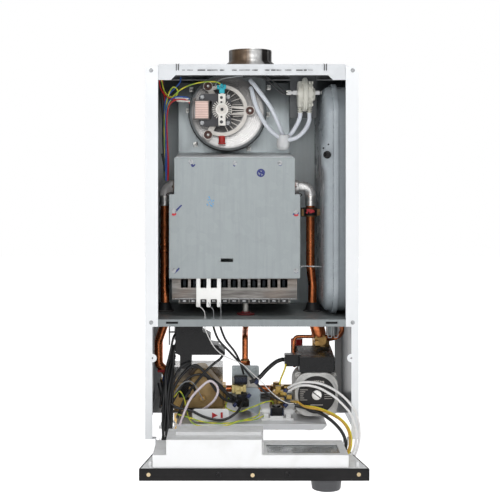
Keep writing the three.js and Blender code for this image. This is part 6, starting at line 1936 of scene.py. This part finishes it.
def coil_contacts(bm):
    box_of(bm, (-31.5, -7.5), (201.8, 204.6), (92, 102), 0.8)
    for x in (-27, -20, -13):
        box_of(bm, (x - 1.7, x + 1.7), (204, 208), (94, 100), 0.5)


def valve_plug(bm):
    """The crimped yellow plug on the valve's coils, with its folds and side tabs."""
    for i in range(5):
        x = -37 + 5.5 * i
        box_of(bm, (x, x + 6.2), (186.6, 201 + (i % 2) * 2.2),
               (70 + (i * 3) % 5, 86.5 - (i * 5) % 4),
               1.6)
    box_of(bm, (-37.3, -10), (187, 199), (74, 83), 1.8)
    box_of(bm, (-30, -19), (198, 205), (68.6, 75), 1.4)
    spun(bm, (-25.5, 200, 80), OUT, [(0, 0), (4.2, 0), (3.8, 4.6), (0, 5)], 18)


def valve_socket(bm):
    box_of(bm, (-27, -6.2), (186.6, 206), (44.2, 69.5), 1.4)
    box_of(bm, (-30, -22), (192, 209), (50, 60), 1.2)
    box_of(bm, (-17, -3.5), (194, 210), (46, 58), 1.2)
    box_of(bm, (-12, -7.2), (204, 209), (60, 70), 0.8)


def socket_ties(bm):
    for x, z in ((-21, 66), (-8, 64), (-27, 57)):
        box_of(bm, (x - 2.4, x + 2.4), (205.4, 209.6), (z - 1.4, z + 1.4), 0.7)


def union_of_gas_pipe(bm):
    """A brass hexagon nut on the gas pipe, with its washer."""
    spun(bm, (-10, 150, 112.4), UP, [(6.2, 0), (9, 0), (10, 0.8), (10, 12), (9, 12.8), (6.2, 12.8),
                                     (6.2, 0)], 6)
    spun(bm, (-10, 150, 125.2), UP, [(6.2, 0), (8.4, 0), (8.4, 2), (7.2, 3.2), (6.2, 3.2),
                                     (6.2, 0)],
         30)


def brass_fittings(bm):
    """The brass pieces above the pump and on the cold water valve."""
    spun(bm, (149, 136, 145), UP, [(0, 0), (9, 0), (11.6, 2), (11.6, 9), (10.4, 10.4), (10.4, 20),
                                   (8, 22), (0, 22)], 8)
    rod_between(bm, (149, 136, 156), (131, 136, 157), 6, 20)
    spun(bm, (55, 118, 52), UP, [(7.6, 0), (11, 0), (11.6, 0.8), (11.6, 11), (11, 12), (7.6, 12),
                                 (7.6, 0)], 6)
    rod_between(bm, (47, 196, 72), (47, 210, 72), 5.2, 20)


def dome_fittings(bm):
    spun(bm, (-93.5, 206.4, 62), OUT, [(0, 0), (6, 0), (6, 5), (5, 6), (3.6, 6), (3.6, 9),
                                       (0, 9.4)], 6)
    spun(bm, (-62, 178, 40), UP, [(0, 0), (12, 0), (13, 1), (13, 4.4), (12, 5.4), (0, 5.4)], 36)
    box_of(bm, (-74, -50), (160, 190), (36.5, 41), 0.8)


def dome_face(bm):
    """The dark servo cover let into the dome's left side."""
    spun(bm, (-121, 196, 74), OUT, [
        (0, 0), (15, 0), (16.4, 1.4), (16.4, 9), (15, 10.6), (11, 10.8), (10, 8.8), (5, 8.6),
        (4.2, 12.6), (0, 12.8),
    ], 32)
    box_of(bm, (-140, -120), (190, 203), (62, 74), 1.4)
    box_of(bm, (-128, -106), (190, 204), (82, 91), 1.4)


def swaged_end(bm):
    """The wide copper cup over the pump's return fitting."""
    start, end = (129.5, 150, 207), (139, 150, 172)
    profile = [(8.7, 0), (11.4, 1.6), (13.6, 6), (14, 9), (14, 29), (13.2, 34), (12.7, 35),
               (8.7, 35), (8.7, 0)]
    spun(bm, start, at(*end) - at(*start), profile, 36)


def return_clips(bm):
    """White spring clips across the vessel's connection."""
    for x in (157, 169):
        line = [(x - 4, 168, 209), (x - 4, 169, 178), (x, 169, 174), (x + 4, 169, 178),
                (x + 4, 168, 209)]
        sweep(bm, stations_through(line, 36), 0.9, 8)


def return_can(bm):
    spun(bm, (163, 148, 176), UP, [(0, 0), (10, 0), (11.4, 1), (11.4, 33), (10.6, 34.4),
                                   (0, 34.4)], 36)


def thin_return_pipe(bm):
    places = [(184, 150, 210.4), (184, 150, 186), (172, 150, 170), (158, 142, 166),
              (150, 138, 160)]
    sweep(bm, bend_line(places, 10), 3.6, 20)


def left_braces(bm):
    """White brackets beside the ignition box."""
    box_of(bm, (-161, -158.4), (160, 176), (160, 199), 0.5)
    box_of(bm, (-149.6, -147), (160, 176), (170, 199), 0.5)
    box_of(bm, (-161, -147), (160, 164), (196.6, 199.2), 0.5)
    box_of(bm, (-161, -147), (172, 176), (184, 187), 0.5)


def pipe_clip_red(bm):
    box_of(bm, (-186, -170), (118, 130), (98, 103), 1)
    rod_between(bm, (-178, 124, 103), (-178, 124, 108), 2)


# Connectors and ties


def flow_tag(bm):
    plate(bm, [(-112, 47), (-108, 50), (-46, 50), (-43, 46), (-43, 30), (-48, 26), (-106, 26),
               (-112, 31)], 246.4, 247.4)


def flow_mark(bm):
    """A plain arrow and bar, the usual sign for the direction of flow."""
    plate(bm, [(-75, 43.4), (-64, 37.8), (-75, 32.2)], 247.4, 247.9)
    plate(bm, [(-58.5, 43.4), (-54.5, 43.4), (-54.5, 32.6), (-58.5, 32.6)], 247.4, 247.9)


def gold_plugs(bm):
    for x, z, width, height in ((52, 83, 10, 12), (62, 76, 12, 9), (73, 68, 10, 8),
                                (58, 62, 11, 9),
                                (82, 58, 13, 6)):
        box_of(bm, (x - width / 2, x + width / 2), (217, 229), (z - height / 2, z + height / 2),
               1.1)
        box_of(bm, (x - width / 3, x + width / 3), (228, 231), (z - height / 4, z + height / 4),
               0.7)


def blue_tapes(bm):
    """Turns of dark-blue tape round the leads."""
    for x, depth, z, radius in ((66, 226, 80, 4.2), (66, 226, 53, 4.6), (-4, 222, 70, 3.6),
                                (-31, 222, 52, 3.4), (10.5, 221, 96, 4)):
        rod_between(bm, (x - 2.6, depth, z - 3), (x + 2.6, depth, z + 3), radius, 18)
    for z in (104, 96, 70):
        rod_between(bm, (-165, 229, z - 5), (-164, 228, z + 5), 5.2, 18)


def black_foot(bm):
    box_of(bm, (38, 60), (198, 224), (31, 47), 1.2)
    spun(bm, (49, 211, 47), UP, [(0, 0), (9, 0), (8, 3), (0, 3.4)], 24)


def foot_holder(bm):
    """The white base that holds the black foot and the two capsules above the bottom plate."""
    box_of(bm, (19, 82), (204, 226), (21.8, 26.6), 1.2)
    for x in (29, 72):
        box_of(bm, (x - 5, x + 5), (210, 222), (26, 35), 0.8)
    box_of(bm, (36, 62), (197.6, 224.4), (26, 31.2), 0.8)


ROW_SPANS = [(-117, -105.5), (-96.8, -85.7), (-77.3, -66.2), (-57.5, -43.4)] + [
    (-32.7 - 8.3 + 19 * i, -32.7 + 8.3 + 19 * i) for i in range(6)
] + [(-136, -119.4)]


def burner_row_shades(bm):
    """Painted shade: the dark row of air slots under the burner's windows."""
    for low, high in ROW_SPANS:
        box_of(bm, (low, high), (237.7, 238.5), (250.2, 257), 0.3)


def burner_row_beads(bm):
    """The bright fold above that row, and one pressed bead in each slot."""
    for low, high in [(-151.2, -105.5), (-57.5, 86.3)]:
        box_of(bm, (low, high), (237.7, 239), (257.6, 258.9), 0.3)
    for low, high in ROW_SPANS:
        middle = (low + high) / 2
        box_of(bm, (middle - 3.2, middle + 3.2), (238.2, 239.2), (252.4, 255.6), 1.2)


def purple_edges(bm):
    for x in (37, 60.4):
        box_of(bm, (x, x + 2.6), (214, 224.6), (31.5, 46), 0.7)


def white_capsules(bm):
    for x in (29, 72):
        rod_between(bm, (x - 9, 216, 39), (x + 9, 216, 39), 6.6, 24)
        rod_between(bm, (x - 12, 216, 39), (x + 12, 216, 39), 3, 16)


def cable_tie(bm):
    middle, radius = (-157.5, 258, 22.5), 13.4
    for shift in (-1.2, 1.2):
        ring = [at(middle[0] + radius * math.cos(a), middle[1] + 0.72 * radius * math.sin(a),
                   middle[2] + shift - 6.5 * math.sin(a)) for a in
                [2 * math.pi * i / 40 for i in range(41)]]
        sweep(bm, ring, 1.1, 8)
    box_of(bm, (-175, -169.5), (262, 267), (16.4, 22), 0.8)


def harness_bundle():
    """The panel's harness: a dozen leads that cross over as they climb, and part at the box."""
    bm = bmesh.new()
    middle = stations_through(HARNESS, 100)
    frames = frames_along(middle)
    for i in range(12):
        start = 2 * math.pi * i / 9 + 0.3
        far = 6.6 if i < 9 else 2.4
        goal = at(-147 - 0.5 * (i % 3), 216 - 4.5 * (i % 5), 128 + 3.4 * i)
        line = []
        for k, (point, (side, up)) in enumerate(zip(middle, frames)):
            share = k / (len(middle) - 1)
            turn = start + 2.1 * share + 0.6 * math.sin(7 * share + i)
            swing = 0.5 + 0.5 * math.sin(4 * share + i)
            spread = far * (1 + 0.75 * math.sin(math.pi * share) * swing)
            here = point + MILLIMETRE * spread * (side * math.cos(turn) + up * math.sin(turn))
            pull = max(0, (share - 0.62 - 0.012 * i) / (0.38 - 0.012 * i))
            line.append(here.lerp(goal, pull * pull * (3 - 2 * pull)))
        sweep(bm, line, 2.2 + 0.5 * math.sin(1.9 * i), 10)
    piece = finished("panel_harness_leads", bm, 60)
    piece.data.materials.append(SHEATHS["black"])
    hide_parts("panel_harness")
    at(0, 272, 30)
    at(0, 300, -4)
    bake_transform(piece)


# Panel


def panel_screws_and_holes():
    screws("panel_screws", "yellow", [
        (-183.3, 425.6, -25.6), (-2.8, 425.6, -26.4), (181.4, 425.6, -25.2),
    ], "panel", head=2.5, height=1.5, washer=3.5, groove=0.8, sides=18, seed=4)

    def keyholes(bm):
        for x in (-62.1, 57):
            ring = [at(x + 3.8 * math.cos(a), 426.1, -25.3 + 4.2 * math.sin(a)) for a in
                    [math.radians(-60 + 300 * i / 24) for i in range(25)]]
            sweep(bm, ring, 1.05, 8)

    detail("panel_key_rings", "gloss_black", "panel", "black", keyholes)


def board_parts():
    """What the pane shows: terminal rows, chips, a relay and capacitors on the board."""
    def dark(bm):
        for x, depth, width, length, height in (
            (88, 392, 16, 12, 3.2), (112, 372, 22, 9, 2.4), (132, 396, 12, 14, 3.6),
            (100, 358, 9, 9, 3), (70, 360, 14, 7, 2.2), (44, 364, 10, 14, 3.4),
            (146, 366, 6, 20, 3),
        ):
            box_of(bm, (x - width / 2, x + width / 2), (depth - length / 2, depth + length / 2),
                   (-2, -2 + height), 0.4)

    def pale(bm):
        for i in range(7):
            box_of(bm, (30.6 + 6.8 * i, 36 + 6.8 * i), (385, 403), (-2, 3.4), 0.4)
        for i in range(6):
            spun(bm, (76 + 9 * i, 378 + 5 * math.sin(2 * i), -2), UP,
                 [(0, 0), (2.4, 0), (2.4, 3.6), (2, 4.2), (0, 4.2)], 16)

    def metal(bm):
        for i in range(7):
            spun(bm, (33.3 + 6.8 * i, 394, 3.2), UP, [(0, 0), (1.9, 0), (1.7, 0.6), (0, 0.7)], 14)
        for i in range(16):
            box_of(bm, (84 + 4 * i, 85.6 + 4 * i), (406, 410), (-2, 2.6), 0.2)

    detail("board_chips", "black", "panel", "black", dark)
    detail("board_terminals", "ivory", "panel", "white", pale)
    detail("board_contacts", "zinc", "panel", "nickel", metal)


def cover_seams(bm):
    """The raised edge and clip marks of the panel's back cover."""
    for x in (-150, -78, -8):
        box_of(bm, (x, x + 12), (352, 353.2), (34.2, 35), 0.2)
    box_of(bm, (14.5, 16), (352, 420), (8.2, 30), 0.5)


def add_small_parts():
    casing = [
        ("floor_boots", "black_rubber", "black", floor_boots),
        ("gas_seal", "seal", "red", gas_seal),
        ("lip_slot_shades", "shade", "black", slot_shades),
        ("casing_tabs", "dark_steel", "nickel", collar_tabs),
        ("cover_rod", "zinc", "nickel", cover_bracket),
        ("vessel_dimple_shades", "shade", "black", vessel_hole_shades),
        ("switch_nozzles", "clear", "white", switch_nozzles),
        ("switch_ribs", "ivory", "white", switch_ribs),
        ("switch_terminals", "connector", "white", switch_terminals),
        ("pump_label", "label", "black", pump_label),
        ("pump_ring", "pump_casting", "castAlloy", pump_ring),
        ("pump_screw", "nickel", "nickel", pump_screw),
        ("pump_screw_groove_shade", "shade", "black", screw_groove_shade),
        ("pump_label_marks", "print", "white", pump_marks),
        ("pump_bolt_lugs", "pump_casting", "castAlloy", pump_shoulders),
        ("valve_plate", "zinc_sheet", "galvanised", valve_plate),
        ("valve_back_plate", "galvanised", "galvanised", valve_back_plate),
        ("coil_contacts", "navy", "black", coil_contacts),
        ("valve_socket", "black", "black", valve_socket),
        ("socket_ties", "navy", "black", socket_ties),
        ("gas_union_nut", "brass", "brass", union_of_gas_pipe),
        ("brass_fittings", "brass", "brass", brass_fittings),
        ("dome_fittings", "brass", "brass", dome_fittings),
        ("dome_servo_cover", "black", "black", dome_face),
        ("return_cup", "copper", "copper", swaged_end),
        ("return_clips", "white", "white", return_clips),
        ("return_can", "galvanised", "galvanised", return_can),
        ("thin_return_pipe", "copper", "copper", thin_return_pipe),
        ("left_braces", "white", "white", left_braces),
        ("left_pipe_clip", "red", "red", pipe_clip_red),
        ("flow_tag", "white", "white", flow_tag),
        ("flow_mark", "red", "red", flow_mark),
        ("gold_plugs", "gold_plug", "regulator", gold_plugs),
        ("blue_tapes", "tape", "black", blue_tapes),
        ("black_foot", "gloss_black", "black", black_foot),
        ("foot_holder", "white", "white", foot_holder),
        ("burner_row_shades", "shade", "black", burner_row_shades),
        ("burner_row_beads", "zinc", "nickel", burner_row_beads),
        ("purple_edges", "navy", "black", purple_edges),
        ("white_capsules", "white", "white", white_capsules),
    ]
    for name, finish, slot, make in casing:
        detail(name, finish, "casing", slot, make)
    plug = detail("valve_plug", "regulator", "casing", "regulator", valve_plug)
    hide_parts("gas_regulator")
    detail("cable_tie", "white", "casing", "white", cable_tie)
    detail("cover_seams", "white", "panel", "white", cover_seams)
    harness_bundle()
    lip_dashes()
    panel_screws_and_holes()
    board_parts()


add_small_parts()


# Stage and light


def make_stage():
    """A plain pale floor, wide enough for a view from any side."""
    floor, reach = -0.78, 6
    bm = bmesh.new()
    bm.faces.new([
        bm.verts.new((x * reach, y * reach, floor)) for x,
        y in ((-1, -1), (1, -1), (1, 1), (-1, 1))
    ])
    floor_piece = as_piece("studio_floor", bm)
    white = (0.92, 0.92, 0.92, 1)
    paper = Finish(
        "paper", Base_Color=white, Roughness=0.9, Emission_Color=white, Emission_Strength=0.92
    )
    floor_piece.data.materials.append(paper.material)


def area_light(name, place, aim, size, power):
    data = bpy.data.lights.new(name, "AREA")
    data.shape = "RECTANGLE"
    data.size, data.size_y = size
    data.energy = power
    light = bpy.data.objects.new(name, data)
    bpy.context.scene.collection.objects.link(light)
    light.location = place
    light.rotation_euler = (Vector(aim) - Vector(place)).to_track_quat("-Z", "Y").to_euler()
    light.visible_camera = False


def make_light():
    world = bpy.data.worlds.new("studio")
    bpy.context.scene.world = world
    world.use_nodes = True
    background = world.node_tree.nodes["Background"]
    background.inputs["Color"].default_value = (0.80, 0.81, 0.83, 1)
    background.inputs["Strength"].default_value = 0.25
    paper = world.node_tree.nodes.new("ShaderNodeBackground")
    paper.inputs["Color"].default_value = (1, 1, 1, 1)
    seen = world.node_tree.nodes.new("ShaderNodeLightPath")
    either = world.node_tree.nodes.new("ShaderNodeMixShader")
    join = world.node_tree.links.new
    join(seen.outputs["Is Camera Ray"], either.inputs[0])
    join(background.outputs[0], either.inputs[1])
    join(paper.outputs[0], either.inputs[2])
    join(either.outputs[0], world.node_tree.nodes["World Output"].inputs["Surface"])
    area_light("key", (-1.45, -2.7, 0.75), (0, 0, -0.25), (1.1, 1.1), 8)
    area_light("front", (-0.15, -3.0, 0.62), (0, 0, -0.3), (1.9, 0.8), 17)
    area_light("fill", (1.6, -2.6, 0.35), (0, 0, -0.3), (0.9, 1.4), 5)
    area_light("top", (0, -1.3, 2.1), (0, -0.2, -0.4), (1.6, 0.9), 22)
    area_light("rear", (0.3, 3.0, 0.5), (0, 0, -0.35), (2.2, 1.6), 9)
    bpy.context.scene.view_settings.view_transform = "Standard"


make_stage()
make_light()
